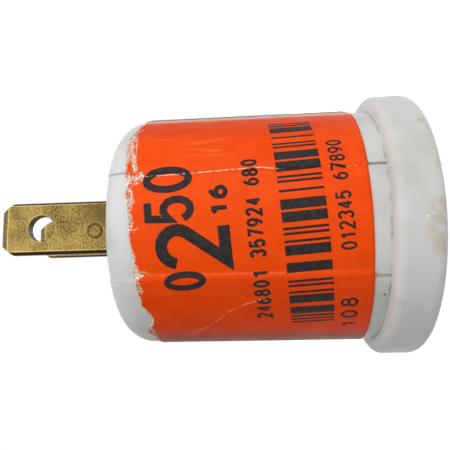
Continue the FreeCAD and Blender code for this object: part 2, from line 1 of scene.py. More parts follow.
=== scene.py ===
"""The looks of a plug-in lamp socket adapter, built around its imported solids.

The adapter stands on its open rim with its blades up: a white moulded housing, two brass blades,
a screw socket inside it, and a worn orange price label round its side. The classes hold their
sizes in millimetres, and a mesh is turned into metres where it is made.
"""

import logging
import math
from collections.abc import Sequence
from dataclasses import dataclass, field, replace
from enum import Enum

import bmesh
import bpy
import numpy as np
from mathutils import Matrix, Vector, noise

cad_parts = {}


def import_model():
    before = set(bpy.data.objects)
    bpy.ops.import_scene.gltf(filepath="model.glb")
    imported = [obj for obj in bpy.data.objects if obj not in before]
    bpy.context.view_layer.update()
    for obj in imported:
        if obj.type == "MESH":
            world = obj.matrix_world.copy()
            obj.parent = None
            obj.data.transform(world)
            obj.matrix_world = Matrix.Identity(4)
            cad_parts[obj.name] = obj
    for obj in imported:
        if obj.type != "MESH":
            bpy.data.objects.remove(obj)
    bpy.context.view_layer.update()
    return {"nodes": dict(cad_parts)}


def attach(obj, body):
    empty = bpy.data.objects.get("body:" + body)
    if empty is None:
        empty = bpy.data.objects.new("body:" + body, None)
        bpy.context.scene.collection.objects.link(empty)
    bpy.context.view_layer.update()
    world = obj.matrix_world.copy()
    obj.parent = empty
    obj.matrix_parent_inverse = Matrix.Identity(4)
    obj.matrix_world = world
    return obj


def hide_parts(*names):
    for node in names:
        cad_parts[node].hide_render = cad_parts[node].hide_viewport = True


LOG = logging.getLogger("lamp_socket_adapter")

MM = 0.001
SHEET_MAP = "sheet"
SHEET_SPAN = 100.0
SHEET_SHIFT = 50.0
SCUFF_FIELD = "scuff"
PAPER_THICKNESS = 0.16
SPOT_CORE = 0.3
MERGE_DISTANCE = 0.0001
MIX_FIRST = 6
MIX_SECOND = 7
MIX_RESULT = 2

Colour = tuple[float, float, float, float]
Point = tuple[float, float, float]
Value = float | bpy.types.NodeSocket


def paint(red: int, green: int, blue: int) -> Colour:
    """Return a linear colour from display values.

    Args:
        red: Display value from 0 to 255.
        green: Display value from 0 to 255.
        blue: Display value from 0 to 255.

    Returns:
        The linear colour with full alpha.
    """
    channels = []
    for value in (red, green, blue):
        share = value / 255
        channels.append(share / 12.92 if share <= 0.04045 else ((share + 0.055) / 1.055) ** 2.4)
    return (channels[0], channels[1], channels[2], 1.0)


class Metal(Enum):
    """The metals of the adapter, each with its dull and its bright colour and its roughness."""

    BLADE = (paint(54, 41, 16), paint(148, 126, 72), 0.4)
    SHELL = (paint(186, 150, 84), paint(226, 196, 132), 0.26)
    BRONZE = (paint(170, 118, 70), paint(214, 160, 104), 0.32)
    STEEL = (paint(150, 150, 152), paint(196, 196, 198), 0.3)

    @property
    def dull_and_shade(self) -> Colour:
        """Return the colour of the handled parts."""
        return self.value[0]

    @property
    def bright(self) -> Colour:
        """Return the colour of the rubbed parts."""
        return self.value[1]

    @property
    def roughness(self) -> float:
        """Return the mean roughness."""
        return self.value[2]


@dataclass(frozen=True)
class Grain:
    """Noise over a surface, with the two levels between which it goes from 0 to 1 as a mask."""

    per_mm: float
    detail: float = 2.0
    stretch: Point = (1.0, 1.0, 1.0)
    low: float = 0.0
    high: float = 1.0


class Paint:
    """A node material under construction, measured in millimetres on the piece's own axes."""

    def __init__(self, name: str, roughness: float = 0.5, metallic: float = 0.0) -> None:
        """Start the material.

        Args:
            name: Name of the material.
            roughness: Roughness where nothing is linked to it.
            metallic: 1 for a metal.
        """
        self.material = bpy.data.materials.new(name)
        self.material.use_nodes = True
        self.tree = self.material.node_tree
        self.shader = self.tree.nodes["Principled BSDF"]
        self.shader.inputs["Roughness"].default_value = roughness
        self.shader.inputs["Metallic"].default_value = metallic
        mapping = self.tree.nodes.new("ShaderNodeMapping")
        mapping.inputs["Scale"].default_value = (1 / MM, 1 / MM, 1 / MM)
        coordinates = self.tree.nodes.new("ShaderNodeTexCoord")
        self.tree.links.new(coordinates.outputs["Object"], mapping.inputs["Vector"])
        self.place = mapping.outputs["Vector"]

    def join(self, value: Value | Colour, socket: bpy.types.NodeSocket) -> None:
        """Link a node's output to a socket, or set the socket to a constant.

        Args:
            value: The output or the constant.
            socket: The socket that takes it.
        """
        if isinstance(value, bpy.types.NodeSocket):
            self.tree.links.new(value, socket)
        else:
            socket.default_value = value

    def math(self, operation: str, first: Value, second: Value = 0.0) -> bpy.types.NodeSocket:
        """Return the result of a sum on two values.

        Args:
            operation: Name of the sum, as the node has it.
            first: The first value.
            second: The second value, for a sum that has one.

        Returns:
            The result's socket.
        """
        node = self.tree.nodes.new("ShaderNodeMath")
        node.operation = operation
        self.join(first, node.inputs[0])
        self.join(second, node.inputs[1])
        return node.outputs[0]

    def times(self, *values: Value) -> bpy.types.NodeSocket:
        """Return the product of two or more values.

        Args:
            values: The values.

        Returns:
            The product's socket.
        """
        product = values[0]
        for value in values[1:]:
            product = self.math("MULTIPLY", product, value)
        return product

    def away(self, value: Value, place: Value) -> bpy.types.NodeSocket:
        """Return how far a value lies from a place on either side."""
        return self.math("ABSOLUTE", self.math("SUBTRACT", value, place))

    def mask(self, value: Value, low: float, high: float) -> bpy.types.NodeSocket:
        """Return a smooth 0 to 1 as the value goes from low to high.

        Args:
            value: The value.
            low: Where the mask is 0.
            high: Where the mask is 1, which may be the lower of the two.

        Returns:
            The mask's socket.
        """
        node = self.tree.nodes.new("ShaderNodeMapRange")
        node.interpolation_type = "SMOOTHSTEP"
        rising = low < high
        self.join(value, node.inputs["Value"])
        node.inputs["From Min"].default_value = min(low, high)
        node.inputs["From Max"].default_value = max(low, high)
        node.inputs["To Min"].default_value = 0.0 if rising else 1.0
        node.inputs["To Max"].default_value = 1.0 if rising else 0.0
        return node.outputs["Result"]

    def inside(self, value: Value, low: float, high: float, edge: float) -> bpy.types.NodeSocket:
        """Return 1 where the value lies between two limits.

        Args:
            value: The value.
            low: The lower limit.
            high: The upper limit.
            edge: Width of the soft end at each limit.

        Returns:
            The mask's socket.
        """
        above = self.mask(value, low - edge / 2, low + edge / 2)
        below = self.mask(value, high + edge / 2, high - edge / 2)
        return self.times(above, below)

    def past(
        self, value: Value, start: float, limits: tuple[float, float], edge: float,
    ) -> bpy.types.NodeSocket:
        """Return 1 where the value lies between two limits past a start, as in inside."""
        return self.inside(value, start + limits[0], start + limits[1], edge)

    def stretched(self, factors: Point, place: bpy.types.NodeSocket | None) -> bpy.types.NodeSocket:
        """Return a place with a factor on each axis.

        Args:
            factors: The factors.
            place: The place, which is the piece's own axes if it isn't given.

        Returns:
            The new place's socket.
        """
        scaled = self.tree.nodes.new("ShaderNodeVectorMath")
        scaled.operation = "MULTIPLY"
        self.tree.links.new(place or self.place, scaled.inputs[0])
        scaled.inputs[1].default_value = factors
        return scaled.outputs[0]

    def grain(self, grain: Grain, place: bpy.types.NodeSocket | None = None) -> bpy.types.NodeSocket:
        """Return noise round 0.5.

        Args:
            grain: The noise's measures, where a small stretch draws it out along that axis.
            place: Where it is read, which is the piece's own axes if it isn't given.

        Returns:
            The noise's socket.
        """
        node = self.tree.nodes.new("ShaderNodeTexNoise")
        node.inputs["Scale"].default_value = grain.per_mm
        node.inputs["Detail"].default_value = grain.detail
        self.tree.links.new(self.stretched(grain.stretch, place), node.inputs["Vector"])
        return node.outputs["Fac"]

    def patches(self, grain: Grain, place: bpy.types.NodeSocket | None = None) -> bpy.types.NodeSocket:
        """Return noise as a mask between its two levels."""
        return self.mask(self.grain(grain, place), grain.low, grain.high)

    def blend(self, share: Value, first: Value | Colour, second: Value | Colour) -> bpy.types.NodeSocket:
        """Return the colour that lies a share of the way from the first to the second.

        Args:
            share: The share, from 0 to 1.
            first: The first colour.
            second: The second colour.

        Returns:
            The colour's socket.
        """
        node = self.tree.nodes.new("ShaderNodeMix")
        node.data_type = "RGBA"
        self.join(share, node.inputs["Factor"])
        self.join(first, node.inputs[MIX_FIRST])
        self.join(second, node.inputs[MIX_SECOND])
        return node.outputs[MIX_RESULT]

    def tint(
        self, colour: Value | Colour, over: Value | Colour, share: Value, strength: Value,
    ) -> bpy.types.NodeSocket:
        """Return a colour with another laid over it, at a strength where the share is 1."""
        return self.blend(self.times(share, strength), colour, over)

    def reach(
        self, centre: Point, squash: Point = (1.0, 1.0, 1.0), place: bpy.types.NodeSocket | None = None,
    ) -> bpy.types.NodeSocket:
        """Return the distance from a point in millimetres.

        Args:
            centre: The point.
            squash: Factors on the distance along each axis.
            place: Where it is measured, which is the piece's own axes if it isn't given.

        Returns:
            The distance's socket.
        """
        distance = self.tree.nodes.new("ShaderNodeVectorMath")
        distance.operation = "DISTANCE"
        self.tree.links.new(self.stretched(squash, place), distance.inputs[0])
        distance.inputs[1].default_value = [c * f for c, f in zip(centre, squash)]
        return distance.outputs["Value"]

    def spot(
        self, centre: Point, radius: float, squash: Point = (1.0, 1.0, 1.0),
        place: bpy.types.NodeSocket | None = None,
    ) -> bpy.types.NodeSocket:
        """Return 1 at a point and 0 past a radius from it, measured as in reach."""
        return self.mask(self.reach(centre, squash, place), radius, SPOT_CORE * radius)

    def parts(self, place: bpy.types.NodeSocket) -> tuple[bpy.types.NodeSocket, ...]:
        """Return the three measures of a place.

        Args:
            place: The place.

        Returns:
            The three sockets.
        """
        node = self.tree.nodes.new("ShaderNodeSeparateXYZ")
        self.tree.links.new(place, node.inputs[0])
        return tuple(node.outputs)

    def sheet(self) -> bpy.types.NodeSocket:
        """Return the place on the label's flat sheet: round the body, then up it, in millimetres.

        Returns:
            The place's socket.
        """
        uv = self.tree.nodes.new("ShaderNodeUVMap")
        uv.uv_map = SHEET_MAP
        mapping = self.tree.nodes.new("ShaderNodeMapping")
        mapping.inputs["Scale"].default_value = (SHEET_SPAN, SHEET_SPAN, 1.0)
        mapping.inputs["Location"].default_value = (-SHEET_SHIFT, 0.0, 0.0)
        self.tree.links.new(uv.outputs["UV"], mapping.inputs["Vector"])
        return mapping.outputs["Vector"]

    def field(self, name: str) -> bpy.types.NodeSocket:
        """Return a named value that the mesh carries at its points.

        Args:
            name: Name of the value.

        Returns:
            The value's socket.
        """
        node = self.tree.nodes.new("ShaderNodeAttribute")
        node.attribute_name = name
        return node.outputs["Fac"]

    def relief(self, height: Value, depth: float) -> None:
        """Stack a bump on what the shader already has.

        Args:
            height: The bump's height, from 0 to 1.
            depth: How high it stands at 1 in millimetres, below 0 for a dent.
        """
        node = self.tree.nodes.new("ShaderNodeBump")
        node.inputs["Distance"].default_value = depth * MM
        self.join(height, node.inputs["Height"])
        below = self.shader.inputs["Normal"].links
        if below:
            self.tree.links.new(below[0].from_socket, node.inputs["Normal"])
        self.tree.links.new(node.outputs["Normal"], self.shader.inputs["Normal"])

    def colour(self, value: Value | Colour) -> None:
        """Set the base colour."""
        self.join(value, self.shader.inputs["Base Color"])

    def rough(self, value: Value) -> None:
        """Set the roughness."""
        self.join(value, self.shader.inputs["Roughness"])


@dataclass(frozen=True)
class CreaseLine:
    """A crease of the label, as its place round the body at heights up it, in millimetres."""

    points: tuple[tuple[float, float], ...]
    width: float
    height_span: float = 50.0
    around_span: float = 40.0
    core: float = 0.25
    end: float = 0.5

    def around(self, height: np.ndarray) -> np.ndarray:
        """Return the crease's place round the body at each height.

        Args:
            height: The heights.

        Returns:
            The places.
        """
        heights = [point[0] for point in self.points]
        places = [point[1] for point in self.points]
        return np.interp(height, heights, places)

    def reach(self, height: np.ndarray) -> np.ndarray:
        """Return 1 where the crease runs and 0 above and below it.

        Args:
            height: The heights.

        Returns:
            The share at each height.
        """
        low = self.points[0][0]
        high = self.points[-1][0]
        return np.clip(np.minimum(height - low, high - height) + self.end, 0.0, 1.0)

    def mask(self, box: Paint, around: Value, height: Value, width: float) -> bpy.types.NodeSocket:
        """Return the crease as a mask on the label's sheet.

        Args:
            box: The material under construction.
            around: The sheet's place round the body.
            height: The sheet's place up the body.
            width: Half width of the mask.

        Returns:
            The mask's socket.
        """
        curve = box.tree.nodes.new("ShaderNodeFloatCurve")
        knots = curve.mapping.curves[0].points
        shares = []
        for level, place in self.points:
            shares.append((level / self.height_span, place / self.around_span + 0.5))
        knots[0].location = shares[0]
        knots[1].location = shares[-1]
        for share in shares[1:-1]:
            knots.new(*share)
        for knot in knots:
            knot.handle_type = "VECTOR"
        curve.mapping.update()
        box.join(box.math("DIVIDE", height, self.height_span), curve.inputs["Value"])
        place = box.times(box.math("SUBTRACT", curve.outputs[0], 0.5), self.around_span)
        near = box.mask(box.away(around, place), width, self.core * width)
        reach = box.inside(height, self.points[0][0], self.points[-1][0], 2 * self.end)
        return box.times(near, reach)


PANEL_CREASE = CreaseLine(
    ((8.0, 7.7), (13.7, 7.8), (20.0, 7.7), (22.5, 8.0), (28.6, 7.8), (33.0, 7.6), (38.3, 7.4)), 0.11)
FOLD_CREASE = CreaseLine(
    ((22.8, -10.0), (23.6, -10.3), (25.3, -10.9), (27.1, -11.9), (28.5, -13.3), (30.4, -15.4), (34.5, -18.2)),
    0.11)
LOW_CREASE = CreaseLine(((8.0, -6.35), (29.0, -6.2), (39.0, -6.1)), 0.2)


@dataclass(frozen=True)
class MouldedPlastic:
    """White moulded plastic, slightly glossy, with grey handling marks, brownish soiling darkened by painted
    shade in its corners, and pale nicks with one painted glint.

    A pair of values goes from where a mask is 0 to where it is 1, apart from the strengths of the soiling and
    painted shade along the panel's two edges.
    """

    clean: Colour = paint(219, 219, 217)
    handled: Colour = paint(204, 203, 199)
    grime_and_shade: Colour = paint(146, 132, 104)
    stain_and_shade: Colour = paint(196, 184, 158)
    fleck: Colour = paint(52, 44, 36)
    chip_and_glint: Colour = paint(250, 250, 247)
    gloss: float = 0.07
    roughness: float = 0.26
    roughness_change: float = 0.2
    handling: Grain = Grain(0.13, 3.0, low=0.45, high=0.75)
    grime_and_shade_patches: Grain = Grain(0.5, 4.0, low=0.42, high=0.7)
    stain_clouds: Grain = Grain(0.9, 3.0, low=0.3, high=0.62)
    polish_and_sheen: Grain = Grain(0.7, 4.0)
    waves: Grain = Grain(0.25, 2.0)
    scratches: Grain = Grain(1.1, 3.0, (1.0, 1.0, 7.0), 0.62, 0.72)
    waves_height: float = 0.06
    scratch_depth: float = 0.004
    chip_depth: float = 0.02
    chip_squash: Point = (1.0, 1.0, 0.6)
    stain_and_shade_strength: float = 0.62
    groove_height: float = 6.42
    groove_reach: float = 0.22
    groove_core: float = 0.1
    groove_strength: float = 0.6
    junction_radius: float = 17.65
    junction_margins: tuple[float, float] = (0.35, 0.1)
    panel_line_strengths: tuple[float, float] = (0.5, 0.25)
    panel_line_reach: float = 0.34
    panel_line_core: float = 0.08
    panel_line_tops: tuple[float, float] = (10.0, 9.5)
    panel_front: tuple[float, float] = (-8.0, -9.0)

    def grimed_and_shaded(
        self, box: Paint, colour: bpy.types.NodeSocket, panel_edges: Sequence[float],
    ) -> bpy.types.NodeSocket:
        """Return the colour with soiling and painted shade in the corner where the collar meets the body and
        along the panel's edges.

        Args:
            box: The material under construction.
            colour: The colour so far.
            panel_edges: Where the panel's edges lie across the body.

        Returns:
            The new colour's socket.
        """
        across, towards, height = box.parts(box.place)
        far, near = self.junction_margins
        # A brownish line in the corner where the collar meets the body: partly soiling, partly painted shade.
        from_axis = box.reach((0.0, 0.0, 0.0), (1.0, 1.0, 0.0))
        corner = box.mask(from_axis, self.junction_radius + far, self.junction_radius + near)
        groove = box.mask(box.away(height, self.groove_height), self.groove_reach, self.groove_core)
        groove = box.times(groove, corner, box.patches(self.grime_and_shade_patches))
        colour = box.tint(colour, self.grime_and_shade, groove, self.groove_strength)
        # Soiling and painted shade along the panel's recessed edges near the collar.
        below = box.mask(height, *self.panel_line_tops)
        front = box.times(box.mask(towards, *self.panel_front), corner, below)
        for place, strength in zip(panel_edges, self.panel_line_strengths):
            line = box.mask(box.away(across, place), self.panel_line_reach, self.panel_line_core)
            colour = box.tint(colour, self.grime_and_shade, box.times(line, front), strength)
        return colour

    def material(
        self, stains: Sequence[tuple[Point, float]], flecks: Sequence[tuple[Point, float]],
        chips_and_glints: Sequence[tuple[Point, float]], panel_edges: Sequence[float],
    ) -> bpy.types.Material:
        """Return the material.

        Args:
            stains: Brownish patches, as centres and radii in millimetres.
            flecks: Small dark dots, as centres and radii in millimetres.
            chips_and_glints: Small pale nicks and one painted glint, as centres and radii in millimetres.
            panel_edges: Where the panel's edges lie across the body, in millimetres.

        Returns:
            The finished material.
        """
        box = Paint("moulded_white")
        box.shader.inputs["Specular IOR Level"].default_value = self.gloss
        colour = box.blend(box.patches(self.handling), self.clean, self.handled)
        colour = self.grimed_and_shaded(box, colour, panel_edges)
        clouds = box.patches(self.stain_clouds)
        for centre, radius in stains:
            patch = box.times(box.spot(centre, radius), clouds)
            colour = box.tint(colour, self.stain_and_shade, patch, self.stain_and_shade_strength)
        for centre, radius in flecks:
            colour = box.blend(box.spot(centre, radius), colour, self.fleck)
        # Pale nicks, each with a small dent; one of them is a painted glint.
        for centre, radius in chips_and_glints:
            spot_mask = box.spot(centre, radius, self.chip_squash)
            colour = box.blend(spot_mask, colour, self.chip_and_glint)
            box.relief(spot_mask, -self.chip_depth)
        box.colour(colour)
        box.rough(box.math("ADD", self.roughness, box.times(box.grain(self.polish_and_sheen), self.roughness_change)))
        box.relief(box.grain(self.waves), self.waves_height)
        box.relief(box.patches(self.scratches), -self.scratch_depth)
        return box.material


@dataclass(frozen=True)
class WornMetal:
    """Sheet or wire metal with speckled tarnish and fine scratches; the blades' brass adds painted shade and
    painted highlights.
    """

    metal: Metal
    clouds: Grain = Grain(0.35, 3.0, low=0.32, high=0.68)
    speckles: Grain = Grain(4.5, 4.0, (0.6, 1.0, 1.0), 0.36, 0.64)
    lines: Grain = Grain(5.0, 2.0, (0.08, 1.0, 1.0), 0.4, 0.66)
    pits: Grain = Grain(4.5, 3.0, (0.6, 1.0, 1.0))
    cloud_share: float = 0.3
    speckle_share: float = 0.58
    line_share: float = 0.12
    roughness_change: float = 0.2
    line_height: float = 0.003
    pit_height: float = 0.008

    def shade(self, box: Paint, colour: bpy.types.NodeSocket) -> bpy.types.NodeSocket:
        """Return the colour as it is, for a metal piece with no painted shade and highlights of its own."""
        return colour

    def material(self) -> bpy.types.Material:
        """Return the finished material.

        Returns:
            The material.
        """
        box = Paint(f"metal_{self.metal.name.lower()}", self.metal.roughness, 1.0)
        speckles = box.patches(self.speckles)
        lines = box.patches(self.lines)
        share = box.times(box.patches(self.clouds), self.cloud_share)
        share = box.math("ADD", share, box.times(speckles, self.speckle_share))
        share = box.math("ADD", share, box.times(lines, self.line_share))
        box.colour(self.shade(box, box.blend(share, self.metal.dull_and_shade, self.metal.bright)))
        least = self.metal.roughness - self.roughness_change / 2
        box.rough(box.math("ADD", least, box.times(speckles, self.roughness_change)))
        box.relief(lines, self.line_height)
        box.relief(box.grain(self.pits), self.pit_height)
        return box.material


@dataclass(frozen=True)
class BladeBrass(WornMetal):
    """The blades' brass, with painted shade along its cut edges, on its hole's wall and near its root, a
    darker bevel at its tip, and painted highlights just inside the edges, under the bevel, round the hole and
    on its pressed ring.

    A pair of values is two limits past the tip's bevel, the hole's radius or the ring's radius. The painted
    root shade's place is measured from the blade's edge, the housing's axis and the blade's root.
    """

    metal: Metal = Metal.BLADE
    half_width: float = 3.97
    tip: float = 62.15
    tip_bevel: float = 0.9
    tip_soft: float = 0.06
    tip_line: tuple[float, float] = (-0.12, 0.02)
    root: float = 44.3
    root_soft: float = 0.4
    root_reach: float = 3.5
    root_core: float = 0.5
    root_shade_strength: float = 0.3
    hole_height: float = 56.0
    hole_radius: float = 1.98
    edge_dark: float = 0.4
    edge_bright: float = 0.54
    edge_shift: float = 0.08
    edge_gap: float = 0.02
    edge_soft: float = 0.05
    soft: float = 0.08
    highlight_patches: Grain = Grain(0.8, 3.0, (0.0, 0.0, 1.0), 0.3, 0.6)
    highlight_least: float = 0.22
    highlight_change: float = 0.45
    hole_wall: tuple[float, float] = (0.1, 0.04)
    hole_ring: tuple[float, float] = (0.1, 0.2)
    ring_strength: float = 0.35
    stain_and_shade: Point = (-1.0, -7.1, 2.4)
    root_shade_reach: float = 4.0
    root_shade_squash: Point = (1.0, 0.2, 0.8)
    stain_and_shade_strength: float = 0.55
    stamp: tuple[float, float] = (-0.6, 47.7)
    stamp_radius: float = 1.1
    stamp_groove: tuple[float, float] = (-0.22, 0.1)
    stamp_ridge: tuple[float, float] = (0.14, 0.34)
    stamp_soft: float = 0.16
    stamp_dark: float = 0.0
    stamp_bright: float = 0.6
    painted_shade_colour: Colour = paint(46, 35, 13)
    tip_colour: Colour = paint(70, 58, 30)
    root_shade_colour: Colour = paint(74, 58, 28)
    highlight_colour: Colour = paint(176, 156, 105)

    def shaded_root_and_tip(self, box: Paint, height: Value, colour: bpy.types.NodeSocket) -> bpy.types.NodeSocket:
        """Return the colour with painted shade near the blade's root and a darker bevel at its tip.

        Args:
            box: The material under construction.
            height: The height over the rim.
            colour: The colour so far.

        Returns:
            The new colour's socket.
        """
        # Painted shade near the root, heavier on one side of the blade.
        centre = (self.half_width + self.stain_and_shade[0], self.stain_and_shade[1], self.root + self.stain_and_shade[2])
        root_shaded = box.spot(centre, self.root_shade_reach, self.root_shade_squash)
        colour = box.tint(colour, self.root_shade_colour, root_shaded, self.stain_and_shade_strength)
        low_root = box.mask(height, self.root + self.root_reach, self.root + self.root_core)
        colour = box.tint(colour, self.root_shade_colour, low_root, self.root_shade_strength)
        bevel_start = self.tip - self.tip_bevel
        return box.blend(box.mask(height, bevel_start, bevel_start + self.tip_soft), colour, self.tip_colour)

    def stamped(self, box: Paint, colour: bpy.types.NodeSocket) -> bpy.types.NodeSocket:
        """Return the colour with painted shade in the groove of the ring that is pressed into the blade and a
        painted highlight on its ridge.

        Args:
            box: The material under construction.
            colour: The colour so far.

        Returns:
            The new colour's socket.
        """
        from_stamp = box.reach((self.stamp[0], 0.0, self.stamp[1]), (1.0, 0.0, 1.0))
        pressed = box.past(from_stamp, self.stamp_radius, self.stamp_groove, self.stamp_soft)
        raised = box.past(from_stamp, self.stamp_radius, self.stamp_ridge, self.stamp_soft)
        # Painted shade in the ring's groove and a painted highlight on its ridge.
        colour = box.tint(colour, self.painted_shade_colour, pressed, self.stamp_dark)
        return box.tint(colour, self.highlight_colour, raised, self.stamp_bright * self.stamp_dark)

    def shade(self, box: Paint, colour: bpy.types.NodeSocket) -> bpy.types.NodeSocket:
        """Return the colour with painted shade on the edges, the hole's wall and near the root, the darker
        tip bevel, and patchy painted highlights along the edges, under the bevel, round the hole and on the
        pressed ring.

        Args:
            box: The material under construction.
            colour: The bare metal's colour.

        Returns:
            The new colour's socket.
        """
        across, _, height = box.parts(box.place)
        outside = box.mask(height, self.root, self.root + self.root_soft)
        from_middle = box.away(across, self.edge_shift)
        cut_start = self.half_width - self.edge_dark
        bevel_start = self.tip - self.tip_bevel
        colour = self.shaded_root_and_tip(box, height, colour)
        # Painted highlights, broken up in patches: a thin line under the tip's bevel and a band just inside
        # each long edge.
        rubbed_and_sheen = box.past(height, bevel_start, self.tip_line, self.soft)
        band = box.inside(
            from_middle, self.half_width - self.edge_bright, cut_start - self.edge_gap, self.soft)
        rubbed_and_sheen = box.math("MAXIMUM", rubbed_and_sheen, box.times(band, outside))
        highlight_strength = box.math("ADD", self.highlight_least, box.times(box.patches(self.highlight_patches), self.highlight_change))
        colour = box.tint(colour, self.highlight_colour, rubbed_and_sheen, highlight_strength)
        # Painted highlight round the hole.
        from_hole = box.reach((0.0, 0.0, self.hole_height), (1.0, 0.0, 1.0))
        ring = box.past(from_hole, self.hole_radius, self.hole_ring, self.soft)
        colour = self.stamped(box, box.tint(colour, self.highlight_colour, ring, self.ring_strength))
        # Painted shade on the hole's wall and along the long cut edges.
        wall = box.mask(
            from_hole, self.hole_radius + self.hole_wall[0], self.hole_radius + self.hole_wall[1])
        cut = box.times(box.mask(from_middle, cut_start, cut_start + self.edge_soft), outside)
        return box.blend(box.math("MAXIMUM", cut, wall), colour, self.painted_shade_colour)


@dataclass(frozen=True)
class PressedFibre:
    """Red-brown pressed fibre board."""

    pale: Colour = paint(140, 74, 52)
    dark: Colour = paint(104, 50, 38)
    layers: Grain = Grain(1.4, 5.0, (1.0, 1.0, 4.0))
    nap: Grain = Grain(3.0, 3.0)
    nap_height: float = 0.03
    roughness: float = 0.75

    def material(self) -> bpy.types.Material:
        """Return the finished material.

        Returns:
            The material.
        """
        box = Paint("pressed_fibre", self.roughness)
        box.colour(box.blend(box.grain(self.layers), self.dark, self.pale))
        box.relief(box.grain(self.nap), self.nap_height)
        return box.material


@dataclass(frozen=True)
class LabelPaper:
    """Coated orange paper, creased, scuffed to its fibres at the torn end and dark grey where it lifts.

    A pair of values goes from where a mask is 0 to where it is 1. The patch of painted reflection streaks has
    its two limits and the width of its soft ends, round the body and up it.
    """

    orange: Colour = paint(252, 82, 6)
    deep: Colour = paint(232, 62, 6)
    rubbed_and_sheen: Colour = paint(255, 128, 70)
    cracked: Colour = paint(255, 216, 184)
    fibre_pale: Colour = paint(252, 244, 232)
    fibre_middle: Colour = paint(238, 208, 184)
    fibre_dark: Colour = paint(132, 104, 80)
    # Painted grazing sheen near the top outline.
    grazing_sheen: Colour = paint(226, 192, 176)
    shaded: Colour = paint(138, 72, 52)
    # Painted shade towards the top outline.
    dull_and_shade: Colour = paint(196, 58, 22)
    lifted_end_grey: Colour = paint(96, 90, 82)
    gloss: float = 0.1
    roughness: float = 0.34
    roughness_change: float = 0.3
    mottle: Grain = Grain(0.35, 5.0)
    streaks: Grain = Grain(0.9, 3.0, (1.0, 0.08, 1.0))
    mottle_share: float = 0.7
    streak_share: float = 0.5
    deep_levels: tuple[float, float] = (0.45, 0.85)
    deep_share: float = 0.45
    bend: tuple[float, float] = (-6.1, -6.6)
    bend_shade_share: float = 0.3
    polish_and_sheen: Grain = Grain(1.5, 3.0, (1.0, 0.1, 1.0), 0.52, 0.7)
    sheen_around: tuple[float, float, float] = (10.2, 14.6, 1.2)
    sheen_height: tuple[float, float, float] = (27.0, 37.5, 5.0)
    sheen_share: float = 0.5
    breaks: Grain = Grain(1.6, 4.0, low=0.36, high=0.56)
    fade_heights: tuple[float, float] = (17.0, 21.0)
    fade_least: float = 0.2
    creases: tuple[tuple[CreaseLine, float], ...] = (
        (PANEL_CREASE, 0.9), (FOLD_CREASE, 0.6), (LOW_CREASE, 0.1))
    nicks: tuple[tuple[tuple[float, float], float], ...] = (
        ((7.8, 10.5), 0.14), ((8.0, 9.1), 0.12), ((7.0, 10.0), 0.1))
    nick_squash: Point = (1.0, 0.35, 1.0)
    ragged_fine: Grain = Grain(4.6, 4.0, (1.0, 0.7, 1.0))
    ragged_coarse: Grain = Grain(0.9, 2.0)
    ragged_fine_share: float = 4.4
    ragged_coarse_share: float = 1.8
    ragged_scuffs: tuple[float, float] = (0.02, 0.1)
    halo_levels: tuple[float, float] = (0.34, 0.42)
    core_levels: tuple[float, float] = (0.54, 0.68)
    core_depth: float = 0.05
    fibres: Grain = Grain(4.4, 4.0)
    middle_levels: tuple[float, float] = (0.41, 0.46)
    pale_levels: tuple[float, float] = (0.48, 0.56)
    nap: Grain = Grain(5.0, 3.0)
    nap_height: float = 0.01

    @property
    def ends(self) -> tuple[tuple[Colour, float, float, float], ...]:
        """Return the colours laid towards the label's ends, each with its start, where it is full and its
        share: painted shade and then painted grazing sheen near the top, painted shade near the bottom, and
        dark grey on the lifted end.
        """
        return (
            (self.dull_and_shade, 12.6, 17.4, 0.35), (self.grazing_sheen, 19.4, 21.2, 0.85),
            (self.shaded, -15.5, -21.0, 0.92), (self.lifted_end_grey, 22.2, 23.2, 0.85))

    def coated(
        self, box: Paint, sheet: bpy.types.NodeSocket, mottle: bpy.types.NodeSocket,
    ) -> bpy.types.NodeSocket:
        """Return the colour of the coat, with its mottling, its painted shade below the bend, its patch of
        painted reflection streaks, its creases and its nicks.

        Args:
            box: The material under construction.
            sheet: The place on the sheet.
            mottle: The coat's slow noise.

        Returns:
            The colour's socket.
        """
        around, height, _ = box.parts(sheet)
        streaks = box.times(box.grain(self.streaks, sheet), self.streak_share)
        share = box.mask(box.math("ADD", box.times(mottle, self.mottle_share), streaks), *self.deep_levels)
        # Painted shade below the bend at the panel's lower edge.
        shade_below_bend = box.times(box.mask(around, *self.bend), self.bend_shade_share)
        share = box.math("ADD", box.times(share, self.deep_share), shade_below_bend)
        colour = box.blend(share, self.orange, self.deep)
        # A patch of painted reflection streaks on the label's upper part.
        painted_sheen = box.times(
            box.inside(around, *self.sheen_around), box.inside(height, *self.sheen_height),
            box.patches(self.polish_and_sheen, sheet))
        colour = box.tint(colour, self.rubbed_and_sheen, painted_sheen, self.sheen_share)
        broken = box.patches(self.breaks, sheet)
        fade = box.times(box.mask(height, *self.fade_heights), 1.0 - self.fade_least)
        fade = box.math("ADD", self.fade_least, fade)
        for crease, strength in self.creases:
            line = box.times(crease.mask(box, around, height, crease.width), broken, fade)
            colour = box.tint(colour, self.cracked, line, strength)
        for centre, radius in self.nicks:
            spot_mask = box.spot((*centre, 0.0), radius, self.nick_squash, sheet)
            colour = box.blend(spot_mask, colour, self.rubbed_and_sheen)
        return colour

